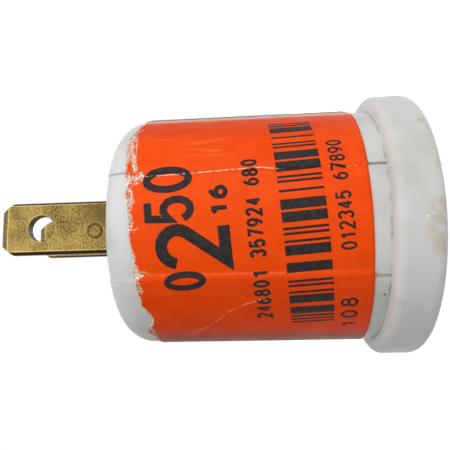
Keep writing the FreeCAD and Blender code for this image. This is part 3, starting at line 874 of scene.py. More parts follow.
    def bareness(self, box: Paint, sheet: bpy.types.NodeSocket) -> bpy.types.NodeSocket:
        """Return how bare the paper is, with a ragged border round each scuff.

        Args:
            box: The material under construction.
            sheet: The place on the sheet.

        Returns:
            The value's socket.
        """
        fine = box.math("SUBTRACT", box.grain(self.ragged_fine, sheet), 0.5)
        coarse = box.math("SUBTRACT", box.grain(self.ragged_coarse, sheet), 0.5)
        fine = box.times(fine, self.ragged_fine_share)
        ragged = box.math("ADD", fine, box.times(coarse, self.ragged_coarse_share))
        scuff = box.field(SCUFF_FIELD)
        return box.math("ADD", scuff, box.times(ragged, box.mask(scuff, *self.ragged_scuffs)))

    def material(self) -> bpy.types.Material:
        """Return the finished material.

        Returns:
            The material.
        """
        box = Paint("label_paper")
        box.shader.inputs["Specular IOR Level"].default_value = self.gloss
        sheet = box.sheet()
        mottle = box.grain(self.mottle, sheet)
        colour = self.coated(box, sheet, mottle)
        bare = self.bareness(box, sheet)
        core = box.mask(bare, *self.core_levels)
        tone = box.grain(self.fibres, sheet)
        fibres = box.blend(box.mask(tone, *self.middle_levels), self.fibre_dark, self.fibre_middle)
        fibres = box.blend(box.mask(tone, *self.pale_levels), fibres, self.fibre_pale)
        colour = box.blend(box.mask(bare, *self.halo_levels), colour, self.cracked)
        colour = box.blend(core, colour, fibres)
        around = box.parts(sheet)[0]
        for over, start, full, share in self.ends:
            colour = box.tint(colour, over, box.mask(around, start, full), share)
        box.colour(colour)
        change = box.times(box.math("MAXIMUM", core, mottle), self.roughness_change)
        box.rough(box.math("ADD", self.roughness, change))
        box.relief(box.grain(self.nap, sheet), self.nap_height)
        box.relief(core, -self.core_depth)
        return box.material


@dataclass(frozen=True)
class LabelInk:
    """Flat near-black ink that cracks along the paper's creases."""

    black: Colour = paint(26, 20, 21)
    faded: Colour = paint(46, 38, 37)
    cracked: Colour = paint(226, 190, 168)
    gloss: float = 0.2
    roughness: float = 0.6
    fading: Grain = Grain(1.2, 4.0, low=0.35, high=0.7)
    breaks: Grain = Grain(2.0, 4.0, low=0.48, high=0.6)
    crack_heights: tuple[float, float] = (19.0, 22.0)
    crack_width: float = 1.2
    creases: tuple[CreaseLine, ...] = (PANEL_CREASE, FOLD_CREASE)
    nap: Grain = Grain(5.0, 3.0)
    nap_height: float = 0.008

    def material(self) -> bpy.types.Material:
        """Return the finished material.

        Returns:
            The material.
        """
        box = Paint("label_ink", self.roughness)
        box.shader.inputs["Specular IOR Level"].default_value = self.gloss
        sheet = box.sheet()
        around, height, _ = box.parts(sheet)
        colour = box.blend(box.patches(self.fading, sheet), self.black, self.faded)
        broken = box.times(box.patches(self.breaks, sheet), box.mask(height, *self.crack_heights))
        for crease in self.creases:
            line = crease.mask(box, around, height, self.crack_width * crease.width)
            colour = box.tint(colour, self.cracked, line, broken)
        box.colour(colour)
        box.relief(box.grain(self.nap, sheet), self.nap_height)
        return box.material


@dataclass(frozen=True)
class BodyForm:
    """The housing's side, on which the label lies, with the panel that is moulded into its front."""

    low_height: float = 6.4
    high_height: float = 39.5
    low_radius: float = 17.65
    high_radius: float = 17.5
    front_turn: float = -7.4
    panel_angles: tuple[float, float] = (-22.5, 26.3)
    panel_depth: float = 0.3
    panel_runs: tuple[float, float] = (0.9, 0.5)
    lift_angle: float = 74.6

    @property
    def round_radius(self) -> float:
        """Return the radius that places round the body are measured on."""
        return self.high_radius + PAPER_THICKNESS

    @property
    def panel_edges(self) -> tuple[float, ...]:
        """Return where the panel's two edges lie across the housing, on its own axes."""
        angles = (math.radians(angle + self.front_turn) for angle in self.panel_angles)
        return tuple(self.low_radius * math.sin(angle) for angle in angles)

    def radius(self, height: np.ndarray) -> np.ndarray:
        """Return the body's radius at each height."""
        share = (height - self.low_height) / (self.high_height - self.low_height)
        return self.low_radius + share * (self.high_radius - self.low_radius)

    def around_of(self, x: np.ndarray, y: np.ndarray) -> np.ndarray:
        """Return how far round from the front line a point lies, as an arc length."""
        angle = np.arctan2(x, -y) - math.radians(self.front_turn)
        return angle * self.round_radius

    def pressed(self, around: np.ndarray) -> np.ndarray:
        """Return how far a sheet that is pressed into the panel lies below the body's side.

        Args:
            around: Arc length round from the front line.

        Returns:
            The depth at each place.
        """
        low, high = (self.low_radius * math.sin(math.radians(angle)) for angle in self.panel_angles)
        low_run, high_run = self.panel_runs
        across = self.round_radius * np.sin(around / self.round_radius)
        front = np.abs(around) < self.round_radius * math.pi / 2
        rise = smooth((across - low) / low_run) * smooth((high - across) / high_run)
        return np.where(front, self.panel_depth * rise, 0.0)

    def place(self, around: np.ndarray, height: np.ndarray, out: np.ndarray) -> np.ndarray:
        """Return points at places round and up the body, in metres.

        Args:
            around: Arc length round from the front line.
            height: Height over the rim.
            out: How far out from the body's side.

        Returns:
            An array with one row to a point.
        """
        lift = self.round_radius * math.radians(self.lift_angle)
        held = np.minimum(around, lift)
        free = around - held
        angle = held / self.round_radius + math.radians(self.front_turn)
        radius = self.radius(height) + out
        x = radius * np.sin(angle) + free * np.cos(angle)
        y = -radius * np.cos(angle) + free * np.sin(angle)
        return np.stack([x, y, height], axis=-1) * MM


def smooth(value: np.ndarray) -> np.ndarray:
    """Return a smooth step from 0 to 1."""
    held = np.clip(value, 0.0, 1.0)
    return held * held * (3 - 2 * held)


@dataclass(frozen=True)
class Ripple:
    """Smooth noise over the label's sheet: its height, how often it changes in a millimetre and its seed."""

    height: float
    per_mm: float
    seed: float

    def at(self, around: np.ndarray, height: np.ndarray) -> np.ndarray:
        """Return the noise at each place, from about minus to plus its height.

        Args:
            around: Arc length round from the front line.
            height: Height over the rim.

        Returns:
            The noise.
        """
        flat = []
        for a, h in zip(np.ravel(around), np.ravel(height)):
            flat.append(noise.noise(Vector((a * self.per_mm, h * self.per_mm, self.seed))))
        return self.height * np.array(flat).reshape(np.shape(around))


def plain_mesh(name: str, points: np.ndarray, faces: Sequence[Sequence[int]]) -> bpy.types.Object:
    """Return a new object at the origin with a smooth mesh, linked to the scene.

    Args:
        name: Name of the object and its mesh.
        points: The mesh's points in metres.
        faces: The points of each face.

    Returns:
        The object.
    """
    mesh = bpy.data.meshes.new(name)
    mesh.from_pydata([tuple(p) for p in points], [], faces)
    mesh.polygons.foreach_set("use_smooth", [True] * len(mesh.polygons))
    mesh.update()
    piece = bpy.data.objects.new(name, mesh)
    bpy.context.scene.collection.objects.link(piece)
    return piece


def dress(piece: bpy.types.Object, material: bpy.types.Material) -> None:
    """Give a piece one material all over.

    Args:
        piece: The piece.
        material: The material.
    """
    piece.data.materials.clear()
    piece.data.materials.append(material)
    piece.data.polygons.foreach_set("material_index", [0] * len(piece.data.polygons))


def top_of(piece: bpy.types.Object) -> float:
    """Return the height of a piece's highest point in millimetres."""
    return max(vertex.co.z for vertex in piece.data.vertices) / MM


def baked(piece: bpy.types.Object) -> None:
    """Turn a piece's modifiers into its plain mesh.

    Args:
        piece: The piece, whose mesh is replaced.
    """
    graph = bpy.context.evaluated_depsgraph_get()
    mesh = bpy.data.meshes.new_from_object(piece.evaluated_get(graph))
    piece.modifiers.clear()
    piece.data = mesh


@dataclass
class Scuff:
    """A stretch of the label where the coat is torn off down to the fibres."""

    points: tuple[tuple[float, float], ...]
    width: float
    strength: float = 1.0
    fullness: float = 0.25

    def at(self, around: np.ndarray, height: np.ndarray) -> np.ndarray:
        """Return how bare the paper is at each place, from 0 to the strength.

        Args:
            around: Arc length round from the front line.
            height: Height over the rim.

        Returns:
            The bareness.
        """
        nearest = np.full(np.shape(around), np.inf)
        ends = list(self.points[1:]) or [self.points[0]]
        for (a0, h0), (a1, h1) in zip(self.points, ends):
            run = np.array([a1 - a0, h1 - h0])
            length = float(run @ run) or 1e-9
            share = np.clip(((around - a0) * run[0] + (height - h0) * run[1]) / length, 0, 1)
            distance = np.hypot(around - a0 - share * run[0], height - h0 - share * run[1])
            nearest = np.minimum(nearest, distance)
        return self.strength * smooth(1.0 - nearest / (2 * self.width) + self.fullness)


@dataclass
class PriceLabel:
    """The orange paper label with its torn end, its creases, its loose fibres and its print."""

    form: BodyForm = field(default_factory=BodyForm)
    thickness: float = PAPER_THICKNESS
    column: float = 0.17
    fine_row: float = 0.1
    coarse_row: float = 0.42
    fine_reach: float = 2.6
    start: float = -29.0
    end: float = 28.2
    edge_rise: float = 0.3
    edge_bareness: tuple[float, float] = (1.0, 0.7)
    scuff_depth: float = 0.03
    scuff_start: float = 0.3
    scuff_run: float = 0.3
    swell: Ripple = Ripple(0.012, 0.35, 3.0)
    wrinkles: Ripple = Ripple(0.022, 1.1, 8.0)
    wrinkle_start: float = 8.5
    wrinkle_run: float = 2.0
    wrinkle_stretch: float = 0.1
    jags: tuple[Ripple, Ripple] = (Ripple(0.16, 1.1, 1.0), Ripple(0.1, 3.1, 2.0))
    jag_drop: float = 0.12
    ridges: tuple[tuple[CreaseLine, float], ...] = ((PANEL_CREASE, 0.05), (FOLD_CREASE, 0.06))
    ridge_width: float = 1.4
    ink_lift: float = 0.02
    ink_thickness: float = 0.025
    ink_facet: float = 0.4
    ink_facing: float = 0.7
    ink_splits: int = 5
    prints: tuple[str, ...] = (
        "price_figures", "unit_figures", "name_figures", "label_bars", "code_figures", "tag_figures")
    scuffs: tuple[Scuff, ...] = (
        Scuff(((18.9, 40.6), (17.9, 40.3), (15.8, 40.4), (14.2, 40.3)), 0.28),
        Scuff(((15.9, 40.1), (17.3, 39.3)), 0.06, 0.8),
        Scuff(((13.5, 40.3), (11.9, 40.1), (10.4, 39.8), (9.2, 39.6), (8.2, 39.3)), 0.13, 0.95),
        Scuff(((15.2, 39.8), (12.3, 39.6), (10.0, 39.4), (8.6, 39.1)), 0.05, 0.7),
        Scuff(((6.6, 40.5), (7.1, 40.0)), 0.4),
        Scuff(((7.1, 39.8), (7.35, 39.1), (7.5, 38.5)), 0.25),
        Scuff(((7.0, 38.3), (6.5, 39.0), (6.2, 39.6)), 0.05, 0.85),
        Scuff(((6.1, 40.3), (5.4, 39.9), (4.6, 39.7), (3.8, 39.5)), 0.15, 0.7),
        Scuff(((13.2, 40.9), (12.4, 40.6), (11.2, 40.5), (9.8, 40.3)), 0.2, 0.62),
        Scuff(((4.4, 40.2), (3.3, 40.0), (1.6, 39.9), (0.6, 39.7)), 0.2, 0.6),
        Scuff(((2.9, 40.1), (2.3, 39.9), (1.8, 39.7)), 0.14, 0.7),
        Scuff(((0.1, 40.0), (0.05, 39.4), (0.2, 38.9)), 0.06, 0.9),
        Scuff(((-2.5, 39.95), (-3.1, 39.8)), 0.12, 0.9),
        Scuff(((-3.1, 39.8), (-4.2, 39.65), (-5.05, 39.5)), 0.2),
        Scuff(((-5.05, 39.55), (-6.05, 39.4), (-6.6, 39.45)), 0.28),
        Scuff(((-6.2, 39.3), (-6.2, 38.7)), 0.14, 0.9),
        Scuff(((-5.8, 38.85), (-5.7, 38.2), (-5.95, 37.7)), 0.05, 0.85),
        Scuff(((-6.9, 39.3), (-7.7, 39.1), (-8.6, 39.0)), 0.16, 0.66),
        Scuff(((-9.2, 39.4), (-10.25, 39.3)), 0.1, 0.8),
        Scuff(((-10.95, 39.4), (-11.5, 38.85), (-12.7, 38.55), (-13.6, 38.5)), 0.1, 0.9),
        Scuff(((-12.5, 38.7), (-14.0, 38.5), (-15.0, 38.7)), 0.22),
        Scuff(((-15.8, 39.0), (-16.8, 38.5), (-18.4, 38.7)), 0.16),
    )

    def outline_of(self, node: bpy.types.Object) -> tuple[np.ndarray, np.ndarray, np.ndarray, np.ndarray]:
        """Return the solid label's torn end and its cut end, as places round it and heights.

        Args:
            node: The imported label.

        Returns:
            The torn end's places and heights, then the cut end's.
        """
        points = np.array([v.co for v in node.data.vertices]) / MM
        around = self.form.around_of(points[:, 0], points[:, 1])
        height = points[:, 2]
        out = np.hypot(points[:, 0], points[:, 1]) - self.form.radius(height) + self.form.pressed(around)
        ends = []
        for side in (1, -1):
            chosen = set()
            for face in node.data.polygons:
                if side * face.normal.z > self.edge_rise:
                    chosen.update(i for i in face.vertices if out[i] > 0.5 * self.thickness)
            order = sorted(chosen, key=lambda i: around[i])
            ends.extend([around[order], height[order]])
        return ends[0], ends[1], ends[2], ends[3]

    def bareness(self, around: np.ndarray, height: np.ndarray) -> np.ndarray:
        """Return how bare the paper is at each place, from 0 to 1."""
        return np.max([scuff.at(around, height) for scuff in self.scuffs], axis=0)

    def outside(self, around: np.ndarray, height: np.ndarray) -> np.ndarray:
        """Return how far the label's face stands out from the body's side at each place.

        Args:
            around: Arc length round from the front line.
            height: Height over the rim.

        Returns:
            The distance.
        """
        out = self.thickness - self.form.pressed(around)
        out = out + self.swell.at(around, height)
        wrinkled = smooth((around - self.wrinkle_start) / self.wrinkle_run)
        out = out + wrinkled * self.wrinkles.at(around, height * self.wrinkle_stretch)
        for crease, ridge in self.ridges:
            distance = (around - crease.around(height)) / (self.ridge_width * crease.width)
            out = out + ridge * crease.reach(height) * np.exp(-distance * distance)
        return out

    def sheet_places(self, node: bpy.types.Object) -> tuple[np.ndarray, np.ndarray]:
        """Return the sheet's grid: a line of points to a column, which ends at the torn end in finer steps.

        Args:
            node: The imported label.

        Returns:
            The points' places round the body and their heights.
        """
        torn_around, torn_height, cut_around, cut_height = self.outline_of(node)
        columns = np.arange(self.start, self.end, self.column)
        low = np.interp(columns, cut_around, cut_height)
        high = np.interp(columns, torn_around, torn_height)
        level = np.zeros_like(columns)
        jag = self.jags[0].at(columns, level) + self.jags[1].at(columns, level)
        high = high + jag - self.jag_drop
        coarse = int(round((np.mean(high - low) - self.fine_reach) / self.coarse_row))
        fine = int(round(self.fine_reach / self.fine_row))
        from_torn = np.concatenate([np.linspace(1.0, 0.0, coarse, endpoint=False), np.zeros(fine + 1)])
        steps = np.concatenate([np.zeros(coarse), np.linspace(1.0, 0.0, fine + 1)])
        around = np.repeat(columns[:, None], len(steps), axis=1)
        span = (high - low - self.fine_reach)[:, None]
        height = high[:, None] - self.fine_reach * np.where(from_torn > 0, 1.0, steps) - from_torn * span
        return around, height

    def sheet_faces(self, columns: int, rows: int) -> list[tuple[int, ...]]:
        """Return the faces of a closed sheet, whose front grid of points comes before its back one.

        Args:
            columns: Columns of the grid.
            rows: Points in a column.

        Returns:
            The points of each face.
        """
        count = columns * rows
        faces = []
        for column in range(columns - 1):
            for row in range(rows - 1):
                a = column * rows + row
                b = a + rows
                faces.append((a, b, b + 1, a + 1))
                faces.append((count + a, count + a + 1, count + b + 1, count + b))
        loop = [column * rows for column in range(columns)]
        loop += [(columns - 1) * rows + row for row in range(1, rows)]
        loop += [column * rows + rows - 1 for column in range(columns - 2, -1, -1)]
        loop += list(range(rows - 2, 0, -1))
        for index, a in enumerate(loop):
            b = loop[(index + 1) % len(loop)]
            faces.append((b, a, count + a, count + b))
        return faces

    def make_sheet(self, node: bpy.types.Object) -> bpy.types.Object:
        """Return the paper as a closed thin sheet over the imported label's outline.

        Args:
            node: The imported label.

        Returns:
            The sheet.
        """
        around, height = self.sheet_places(node)
        out = self.outside(around, height)
        bare = self.bareness(around, height)
        edge, beside = self.edge_bareness
        bare[:, -1] = edge
        bare[:, -2] = np.maximum(bare[:, -2], beside)
        out = out - self.scuff_depth * smooth((bare - self.scuff_start) / self.scuff_run)
        face = self.form.place(around, height, out).reshape(-1, 3)
        back = self.form.place(around, height, out - self.thickness + self.scuff_depth).reshape(-1, 3)
        sheet = plain_mesh("label_sheet", np.concatenate([face, back]), self.sheet_faces(*around.shape))
        self.map_sheet(sheet, np.tile(around.ravel(), 2), np.tile(height.ravel(), 2))
        layer = sheet.data.attributes.new(SCUFF_FIELD, "FLOAT", "POINT")
        layer.data.foreach_set("value", np.tile(bare.ravel(), 2).astype(np.float32))
        return sheet

    def map_sheet(self, piece: bpy.types.Object, around: np.ndarray, height: np.ndarray) -> None:
        """Give a piece the label's flat sheet as its UV map.

        Args:
            piece: The piece.
            around: The places of its points round the body.
            height: The heights of its points.
        """
        layer = piece.data.uv_layers.new(name=SHEET_MAP)
        corners = np.zeros(len(piece.data.loops), np.int64)
        piece.data.loops.foreach_get("vertex_index", corners)
        flat = np.stack([around[corners] + SHEET_SHIFT, height[corners]], axis=-1) / SHEET_SPAN
        layer.data.foreach_set("uv", flat.astype(np.float32).ravel())

    def make_print(self, node: bpy.types.Object) -> bpy.types.Object:
        """Return one field of print, taken from its solids and laid on the label's face.

        Args:
            node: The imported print.

        Returns:
            The print as a thin skin.
        """
        work = bmesh.new()
        work.from_mesh(node.data)
        bmesh.ops.remove_doubles(work, verts=work.verts, dist=MERGE_DISTANCE * MM)
        inward = []
        for face in work.faces:
            centre = face.calc_center_median()
            if face.normal.dot(Vector((centre.x, centre.y, 0)).normalized()) < self.ink_facing:
                inward.append(face)
        bmesh.ops.delete(work, geom=inward, context="FACES")
        for _ in range(self.ink_splits):
            long_edges = [edge for edge in work.edges if edge.calc_length() > self.ink_facet * MM]
            if not long_edges:
                break
            bmesh.ops.subdivide_edges(work, edges=long_edges, cuts=1)
            bmesh.ops.triangulate(work, faces=work.faces)
        mesh = bpy.data.meshes.new(node.name + "_print")
        work.to_mesh(mesh)
        work.free()
        points = np.array([v.co for v in mesh.vertices]) / MM
        around = self.form.around_of(points[:, 0], points[:, 1])
        out = self.outside(around, points[:, 2]) + self.ink_lift
        mesh.vertices.foreach_set("co", self.form.place(around, points[:, 2], out).ravel())
        mesh.polygons.foreach_set("use_smooth", [True] * len(mesh.polygons))
        piece = bpy.data.objects.new(mesh.name, mesh)
        bpy.context.scene.collection.objects.link(piece)
        self.map_sheet(piece, around, points[:, 2])
        wall = piece.modifiers.new("thickness", "SOLIDIFY")
        wall.thickness = self.ink_thickness * MM
        wall.offset = -1.0
        baked(piece)
        return piece

    def build(self, nodes: dict[str, bpy.types.Object]) -> None:
        """Build the sheet, its fibres and its print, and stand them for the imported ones.

        Args:
            nodes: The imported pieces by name.
        """
        paper = LabelPaper().material()
        sheet = self.make_sheet(nodes["price_label"])
        dress(sheet, paper)
        fibres = LooseFibres().make(sheet)
        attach(sheet, "root")
        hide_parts("price_label")
        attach(fibres, "root")
        for piece in (sheet, fibres):
            LOG.info("%s: %d faces", piece.name, len(piece.data.polygons))
        ink = LabelInk().material()
        for name in self.prints:
            piece = self.make_print(nodes[name])
            dress(piece, ink)
            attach(piece, "root")
            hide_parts(name)
            LOG.info("%s: %d faces", piece.name, len(piece.data.polygons))


@dataclass(frozen=True)
class LooseFibres:
    """Paper fibres that stand out of the torn places of the label."""

    density: float = 16.0
    length: float = 0.42
    radius: float = 0.011
    seed: int = 7
    pale: Colour = paint(252, 242, 226)
    dark: Colour = paint(236, 208, 184)
    tones: Grain = Grain(1.5, 2.0, low=0.35, high=0.65)
    roughness: float = 0.8
    bare_power: float = 2.0
    bow: float = 0.16
    steps: int = 3
    sides: int = 3
    turn_least: Point = (-0.1, -0.25, -math.pi)
    turn_most: Point = (0.1, 0.05, math.pi)
    sizes: tuple[float, float] = (0.4, 1.5)

    def material(self) -> bpy.types.Material:
        """Return the fibres' material.

        Returns:
            The material.
        """
        box = Paint("paper_fibre", self.roughness)
        box.colour(box.blend(box.patches(self.tones), self.dark, self.pale))
        return box.material

    def strand(self, tree: bpy.types.NodeTree, given: bpy.types.NodeOutputs) -> bpy.types.NodeSocket:
        """Return one bowed fibre as a mesh.

        Args:
            tree: The tree under construction.
            given: The tree's inputs.

        Returns:
            The mesh's socket.
        """
        new = tree.nodes.new
        link = tree.links.new
        ends = []
        for across, up in ((0.5, self.bow), (1.0, 0.0)):
            end = new("ShaderNodeCombineXYZ")
            for name, factor in (("X", across), ("Z", up)):
                share = new("ShaderNodeMath")
                share.operation = "MULTIPLY"
                share.inputs[1].default_value = factor
                link(given["Length"], share.inputs[0])
                link(share.outputs[0], end.inputs[name])
            ends.append(end.outputs[0])
        strand = new("GeometryNodeCurveQuadraticBezier")
        strand.inputs["Resolution"].default_value = self.steps
        strand.inputs["Start"].default_value = (0.0, 0.0, 0.0)
        link(ends[0], strand.inputs["Middle"])
        link(ends[1], strand.inputs["End"])
        ring = new("GeometryNodeCurvePrimitiveCircle")
        ring.inputs["Resolution"].default_value = self.sides
        link(given["Radius"], ring.inputs["Radius"])
        fibre = new("GeometryNodeCurveToMesh")
        fibre.inputs["Fill Caps"].default_value = True
        link(strand.outputs[0], fibre.inputs["Curve"])
        link(ring.outputs["Curve"], fibre.inputs["Profile Curve"])
        return fibre.outputs["Mesh"]

    def tree(self) -> bpy.types.NodeTree:
        """Return the node tree that strews fibres over the bare places.

        Returns:
            The tree.
        """
        tree = bpy.data.node_groups.new("loose_fibres", "GeometryNodeTree")
        for name, kind in (
            ("Geometry", "NodeSocketGeometry"), ("Density", "NodeSocketFloat"), ("Length", "NodeSocketFloat"),
            ("Radius", "NodeSocketFloat"), ("Seed", "NodeSocketInt"), ("Material", "NodeSocketMaterial"),
        ):
            tree.interface.new_socket(name, in_out="INPUT", socket_type=kind)
        tree.interface.new_socket("Geometry", in_out="OUTPUT", socket_type="NodeSocketGeometry")
        new = tree.nodes.new
        link = tree.links.new
        given = new("NodeGroupInput").outputs
        bare = new("GeometryNodeInputNamedAttribute")
        bare.data_type = "FLOAT"
        bare.inputs["Name"].default_value = SCUFF_FIELD
        chance = new("ShaderNodeMath")
        chance.operation = "POWER"
        link(bare.outputs["Attribute"], chance.inputs[0])
        chance.inputs[1].default_value = self.bare_power
        spread = new("ShaderNodeMath")
        spread.operation = "MULTIPLY"
        link(chance.outputs[0], spread.inputs[0])
        link(given["Density"], spread.inputs[1])
        points = new("GeometryNodeDistributePointsOnFaces")
        link(given["Geometry"], points.inputs["Mesh"])
        link(spread.outputs[0], points.inputs["Density"])
        link(given["Seed"], points.inputs["Seed"])
        turn = new("FunctionNodeRandomValue")
        turn.data_type = "FLOAT_VECTOR"
        turn.inputs["Min"].default_value = self.turn_least
        turn.inputs["Max"].default_value = self.turn_most
        link(given["Seed"], turn.inputs["Seed"])
        turned = new("FunctionNodeRotateRotation")
        turned.rotation_space = "LOCAL"
        link(points.outputs["Rotation"], turned.inputs["Rotation"])
        link(turn.outputs["Value"], turned.inputs["Rotate By"])
        size = new("FunctionNodeRandomValue")
        size.data_type = "FLOAT"
        size.inputs[2].default_value = self.sizes[0]
        size.inputs[3].default_value = self.sizes[1]
        link(given["Seed"], size.inputs["Seed"])
        copies = new("GeometryNodeInstanceOnPoints")
        link(points.outputs["Points"], copies.inputs["Points"])
        link(self.strand(tree, given), copies.inputs["Instance"])
        link(turned.outputs["Rotation"], copies.inputs["Rotation"])
        link(size.outputs[1], copies.inputs["Scale"])
        real = new("GeometryNodeRealizeInstances")
        link(copies.outputs["Instances"], real.inputs["Geometry"])
        coat = new("GeometryNodeSetMaterial")
        link(real.outputs["Geometry"], coat.inputs["Geometry"])
        link(given["Material"], coat.inputs["Material"])
        result = new("NodeGroupOutput")
        link(coat.outputs["Geometry"], result.inputs[0])
        return tree

    def make(self, sheet: bpy.types.Object) -> bpy.types.Object:
        """Return the fibres as one mesh, strewn over the front of a sheet.

        Args:
            sheet: The label's sheet.

        Returns:
            The fibres.
        """
        piece = bpy.data.objects.new("label_fibres", sheet.data.copy())
        bpy.context.scene.collection.objects.link(piece)
        strew = piece.modifiers.new("fibres", "NODES")
        strew.node_group = self.tree()
        values = {
            "Density": self.density / (MM * MM), "Length": self.length * MM, "Radius": self.radius * MM,
            "Seed": self.seed, "Material": self.material(),
        }
        for item in strew.node_group.interface.items_tree:
            if item.in_out == "INPUT" and item.name in values:
                strew[item.identifier] = values[item.name]
        baked(piece)
        return piece


@dataclass
class Housing:
    """The one-piece white moulding."""

    form: BodyForm = field(default_factory=BodyForm)
    finish: MouldedPlastic = field(default_factory=MouldedPlastic)
    stains: tuple[tuple[Point, float], ...] = (
        ((-1.2, -19.7, 1.3), 2.2), ((-3.6, -19.4, 1.1), 2.6), ((-5.6, -18.9, 1.2), 1.6),
        ((11.3, -16.2, 1.4), 0.9),
    )
    flecks: tuple[tuple[Point, float], ...] = (
        ((-11.28, -13.7, 7.06), 0.26), ((-6.78, -18.55, 1.95), 0.2), ((-0.46, -19.74, 1.94), 0.16),
        ((-6.88, -18.51, 2.9), 0.12),
    )
    # The last entry, beside the first dark fleck, is a painted glint; the others are pale nicks.
    chips_and_glints: tuple[tuple[Point, float], ...] = (
        ((-1.57, -18.53, 6.65), 0.2), ((-2.01, -19.75, 2.75), 0.18), ((-1.67, -19.78, 2.14), 0.14),
        ((6.33, -18.8, 1.01), 0.16), ((0.88, -19.85, 1.09), 0.14), ((-11.0, -13.95, 7.1), 0.12),
    )

    def build(self, nodes: dict[str, bpy.types.Object]) -> None:
        """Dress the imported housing.

        Args:
            nodes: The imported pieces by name.
        """
        material = self.finish.material(self.stains, self.flecks, self.chips_and_glints, self.form.panel_edges)
        dress(nodes["housing"], material)
        LOG.info("housing dressed")


@dataclass
class Contacts:
    """The blades and the metal and fibre pieces of the socket inside."""

    wide: BladeBrass = field(default_factory=lambda: BladeBrass(stamp_dark=0.5))
    narrow: BladeBrass = field(default_factory=lambda: BladeBrass(
        half_width=3.175, edge_dark=0.2, edge_bright=0.4, edge_shift=0.0))

    def build(self, nodes: dict[str, bpy.types.Object]) -> None:
        """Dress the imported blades, shell, disc, contact, rivet and screws.

        Args:
            nodes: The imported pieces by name.
        """
        finishes = {
            "neutral_blade": replace(self.wide, tip=top_of(nodes["neutral_blade"])).material(),
            "line_blade": replace(self.narrow, tip=top_of(nodes["line_blade"])).material(),
            "screw_shell": WornMetal(Metal.SHELL).material(),
            "centre_contact": WornMetal(Metal.BRONZE).material(),
            "contact_rivet": WornMetal(Metal.BRONZE).material(),
            "neutral_screw": WornMetal(Metal.STEEL).material(),
            "clamp_screw": WornMetal(Metal.STEEL).material(),
            "insulating_disc": PressedFibre().material(),
        }
        for name, material in finishes.items():
            dress(nodes[name], material)
            LOG.info("%s dressed", name)


@dataclass(frozen=True)
class Lamp:
    """A soft lamp, placed by how far it stands from the adapter towards each side of the picture."""

    name: str
    left: float
    up: float
    near: float
    size: float
    power: float


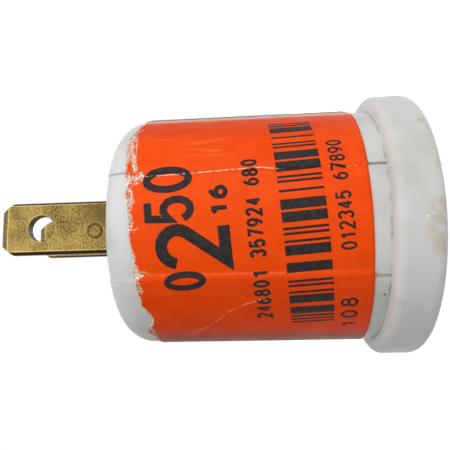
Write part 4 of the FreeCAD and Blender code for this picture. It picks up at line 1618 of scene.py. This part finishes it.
@dataclass
class Studio:
    """The camera at the photograph's viewpoint, the lamps, the white surroundings and the floor."""

    eye: Point = (-11.869, -81.410, 23.796)
    forward: Point = (0.15281, 0.98663, 0.05666)
    picture_up: Point = (0.98797, -0.15115, -0.03262)
    lens: float = 40.545
    sensor: float = 36.0
    middle: Point = (0.0, 0.0, 28.0)
    clip_start: float = 1.0
    surround: float = 0.13
    floor_half: float = 600.0
    floor_colour: Colour = paint(225, 225, 225)
    floor_roughness: float = 0.9
    floor_glow: float = 0.85
    lamps: tuple[Lamp, ...] = (
        Lamp("top_lamp", 0.0, 210.0, 210.0, 220.0, 0.56),
        Lamp("end_lamp", 210.0, 20.0, 210.0, 200.0, 0.38),
        Lamp("shoulder_lamp", 320.0, 40.0, 40.0, 90.0, 0.2),
        Lamp("back_lamp", 0.0, 0.0, -250.0, 80.0, 0.3),
    )

    def axes(self) -> tuple[Vector, Vector, Vector]:
        """Work out the picture's own axes.

        Returns:
            The picture's right, up and towards the viewer, as unit vectors.
        """
        near = -Vector(self.forward).normalized()
        right = Vector(self.picture_up).cross(near).normalized()
        return right, near.cross(right), near

    def make_camera(self) -> None:
        """Put the camera where the photograph was taken from."""
        right, up, near = self.axes()
        data = bpy.data.cameras.new("camera")
        data.lens = self.lens
        data.sensor_width = self.sensor
        data.clip_start = self.clip_start * MM
        camera = bpy.data.objects.new("camera", data)
        bpy.context.scene.collection.objects.link(camera)
        turn = Matrix((right, up, near)).transposed().to_4x4()
        camera.matrix_world = Matrix.Translation(Vector(self.eye) * MM) @ turn
        bpy.context.scene.camera = camera

    def make_lamps(self) -> None:
        """Put up the lamps, each turned to the adapter."""
        right, up, near = self.axes()
        for lamp in self.lamps:
            data = bpy.data.lights.new(lamp.name, "AREA")
            data.energy = lamp.power
            data.size = lamp.size * MM
            piece = bpy.data.objects.new(lamp.name, data)
            bpy.context.scene.collection.objects.link(piece)
            offset = -right * lamp.left + up * lamp.up + near * lamp.near
            piece.location = (Vector(self.middle) + offset) * MM
            piece.rotation_euler = offset.to_track_quat("Z", "Y").to_euler()

    def seen(self, tree: bpy.types.NodeTree) -> bpy.types.NodeSocket:
        """Return 1 where a surface is seen, mirrored or looked through, and 0 where it lights.

        Args:
            tree: The node tree that reads it.

        Returns:
            The value's socket.
        """
        path = tree.nodes.new("ShaderNodeLightPath")
        total = path.outputs["Is Camera Ray"]
        for kind in ("Is Glossy Ray", "Is Transmission Ray"):
            join = tree.nodes.new("ShaderNodeMath")
            join.operation = "MAXIMUM"
            tree.links.new(total, join.inputs[0])
            tree.links.new(path.outputs[kind], join.inputs[1])
            total = join.outputs[0]
        return total

    def make_surround(self) -> None:
        """Give the world a plain grey for the light and white for what is seen or mirrored."""
        world = bpy.data.worlds.new("surround")
        world.use_nodes = True
        bpy.context.scene.world = world
        tree = world.node_tree
        background = tree.nodes["Background"]
        background.inputs["Color"].default_value = (1.0, 1.0, 1.0, 1.0)
        strength = tree.nodes.new("ShaderNodeMapRange")
        strength.inputs["To Min"].default_value = self.surround
        strength.inputs["To Max"].default_value = 1.0
        tree.links.new(self.seen(tree), strength.inputs["Value"])
        tree.links.new(strength.outputs["Result"], background.inputs["Strength"])

    def make_floor(self) -> None:
        """Lay the pale floor that the adapter stands on."""
        half = self.floor_half * MM
        corners = np.array([(-half, -half, 0), (half, -half, 0), (half, half, 0), (-half, half, 0)])
        floor = plain_mesh("floor", corners, [(0, 1, 2, 3)])
        material = bpy.data.materials.new("floor")
        material.use_nodes = True
        tree = material.node_tree
        shader = tree.nodes["Principled BSDF"]
        shader.inputs["Base Color"].default_value = self.floor_colour
        shader.inputs["Roughness"].default_value = self.floor_roughness
        shader.inputs["Emission Color"].default_value = (1.0, 1.0, 1.0, 1.0)
        glow = tree.nodes.new("ShaderNodeMath")
        glow.operation = "MULTIPLY"
        glow.inputs[1].default_value = self.floor_glow
        tree.links.new(self.seen(tree), glow.inputs[0])
        tree.links.new(glow.outputs[0], shader.inputs["Emission Strength"])
        dress(floor, material)

    def build(self) -> None:
        """Build the whole studio."""
        bpy.context.scene.view_settings.view_transform = "Standard"
        self.make_camera()
        self.make_lamps()
        self.make_surround()
        self.make_floor()
        LOG.info("studio ready")


def main() -> None:
    """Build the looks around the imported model."""
    logging.basicConfig(level=logging.INFO, format="%(name)s: %(message)s")
    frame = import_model()
    nodes = frame["nodes"]
    Studio().build()
    Housing().build(nodes)
    Contacts().build(nodes)
    PriceLabel().build(nodes)


if __name__ == "__main__":
    main()
